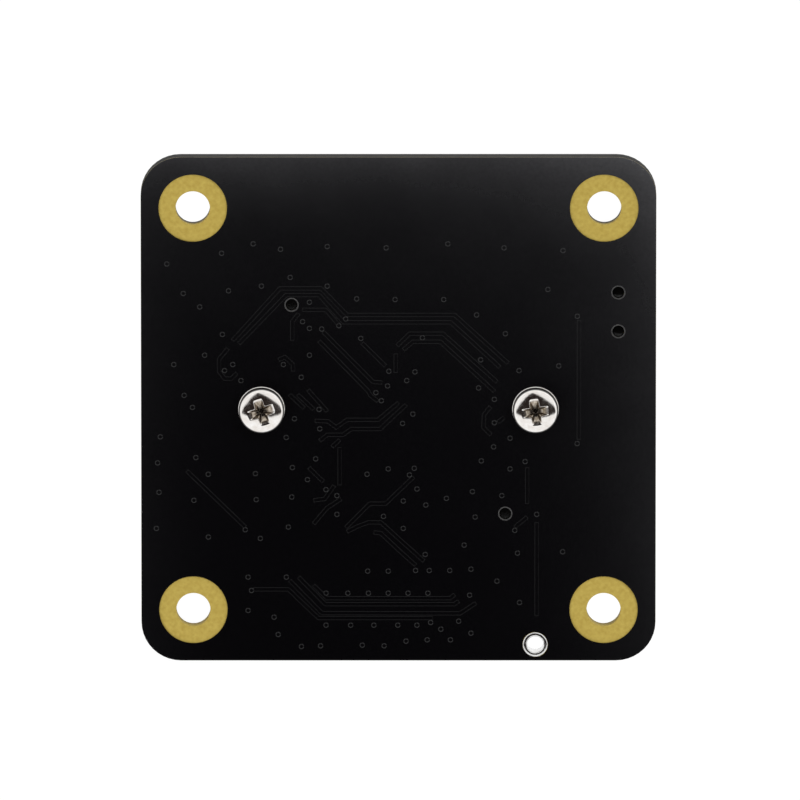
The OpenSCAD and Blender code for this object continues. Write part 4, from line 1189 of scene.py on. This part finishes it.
tube_r, tube_bore_r, stop_z = rear_bore_r - glass_gap, 3.15, 9.2
bm = bmesh.new()
trap_tube(bm, middle_bore_r - glass_gap, 3.85, 6.41, middle_shoulder_z)
lathe(bm, [(tube_r, 8.55), (tube_r, stop_z), (tube_bore_r + 0.1, stop_z), (tube_bore_r + 0.1, 8.5),
           (tube_r - 0.05, 8.5)], steps=96)
make_piece("front_tube", bm, stop_black, ["front_spacer"])
bm = bmesh.new()
lathe(bm, [(tube_r, stop_z), (tube_r, 9.6), (1.75, 9.6), (1.7, 9.55), (1.7, 9.5), (2.6, stop_z)], steps=96)
make_piece("stop_disc", bm, stop_black, ["aperture_stop"])
bm = bmesh.new()
trap_tube(bm, tube_r, tube_bore_r, 12.61, 14.4)
make_piece("rear_tube", bm, stop_black, ["rear_spacer"])

# ---- Studio ----
# A pale floor, soft light from all round the horizon and a black card overhead, as for small dark goods.
# The floor shows white to the camera and to metal and glass, and keeps the module's shadow.
bpy.context.scene.view_settings.view_transform = "Standard"

bm = bmesh.new()
bmesh.ops.create_grid(bm, x_segments=8, y_segments=8, size=3)
floor = as_object("floor", bm)
paper = bpy.data.materials.new("white_paper")
floor.data.materials.append(paper)
made = Shading(paper)
ray = made.node("ShaderNodeLightPath").outputs
mirrored = made.math("MAXIMUM", ray["Is Glossy Ray"], ray["Is Transmission Ray"])
glow_share = made.math("MULTIPLY", made.math("MAXIMUM", ray["Is Camera Ray"], mirrored), 0.88)
lit = made.node("ShaderNodeMixShader", i0=glow_share,
                i1=made.node("ShaderNodeBsdfDiffuse", Color=(0.9, 0.9, 0.9, 1)).outputs[0],
                i2=made.node("ShaderNodeEmission", Strength=1.05).outputs[0])
sided = made.node("ShaderNodeMixShader", i0=made.node("ShaderNodeNewGeometry").outputs["Backfacing"],
                  i1=lit.outputs[0], i2=made.node("ShaderNodeBsdfTransparent").outputs[0])
made.node("ShaderNodeOutputMaterial", i0=sided.outputs[0])

world = bpy.data.worlds.new("studio")
bpy.context.scene.world = world
made = Shading(world)
sky = made.node("ShaderNodeSeparateXYZ", i0=made.node("ShaderNodeTexCoord").outputs["Generated"]).outputs
height = made.math("MAXIMUM", sky["Z"], 0.05)
across, along = (made.math("DIVIDE", sky[axis], height) for axis in "XY")
left_pane = made.math("SUBTRACT", made.math("ADD", made.math("MULTIPLY", across, 1.1), 1.15), along)
right_pane = made.math("SUBTRACT", made.math("ADD", made.math("MULTIPLY", across, -0.6), 0.78), along)
low_pane = made.math("ADD", along, 0.50)
inside = made.math("MINIMUM", made.math("MINIMUM", left_pane, right_pane), low_pane)
card = made.node("ShaderNodeMapRange", {"interpolation_type": "SMOOTHSTEP"}, i0=inside,
                 i1=-0.04, i2=0.07, i3=1.0, i4=0.0)
ray = made.node("ShaderNodeLightPath").outputs
seen = made.math("MAXIMUM", ray["Is Camera Ray"], ray["Is Transmission Ray"])
tone = made.blend(made.math("MAXIMUM", card.outputs[0], seen), (0.020, 0.015, 0.013), (1, 1, 1))
room = made.node("ShaderNodeBackground", Color=tone)
made.node("ShaderNodeOutputWorld", i0=room.outputs[0])


def softbox(name, place, width, height, watts):
    """A soft lamp that faces the module."""
    lamp = bpy.data.lights.new(name, "AREA")
    lamp.shape, lamp.size, lamp.size_y, lamp.energy = "RECTANGLE", width, height, watts
    stand = bpy.data.objects.new(name, lamp)
    stand.location = place
    stand.rotation_euler = (-Vector(place)).to_track_quat("-Z", "Y").to_euler()
    stand.visible_camera = stand.visible_glossy = False
    bpy.context.scene.collection.objects.link(stand)


softbox("key_softbox", (0.95, 0.85, 0.80), 1.2, 1.2, 14.0)
softbox("fill_softbox", (-1.0, -0.8, 0.80), 1.2, 1.2, 12.0)
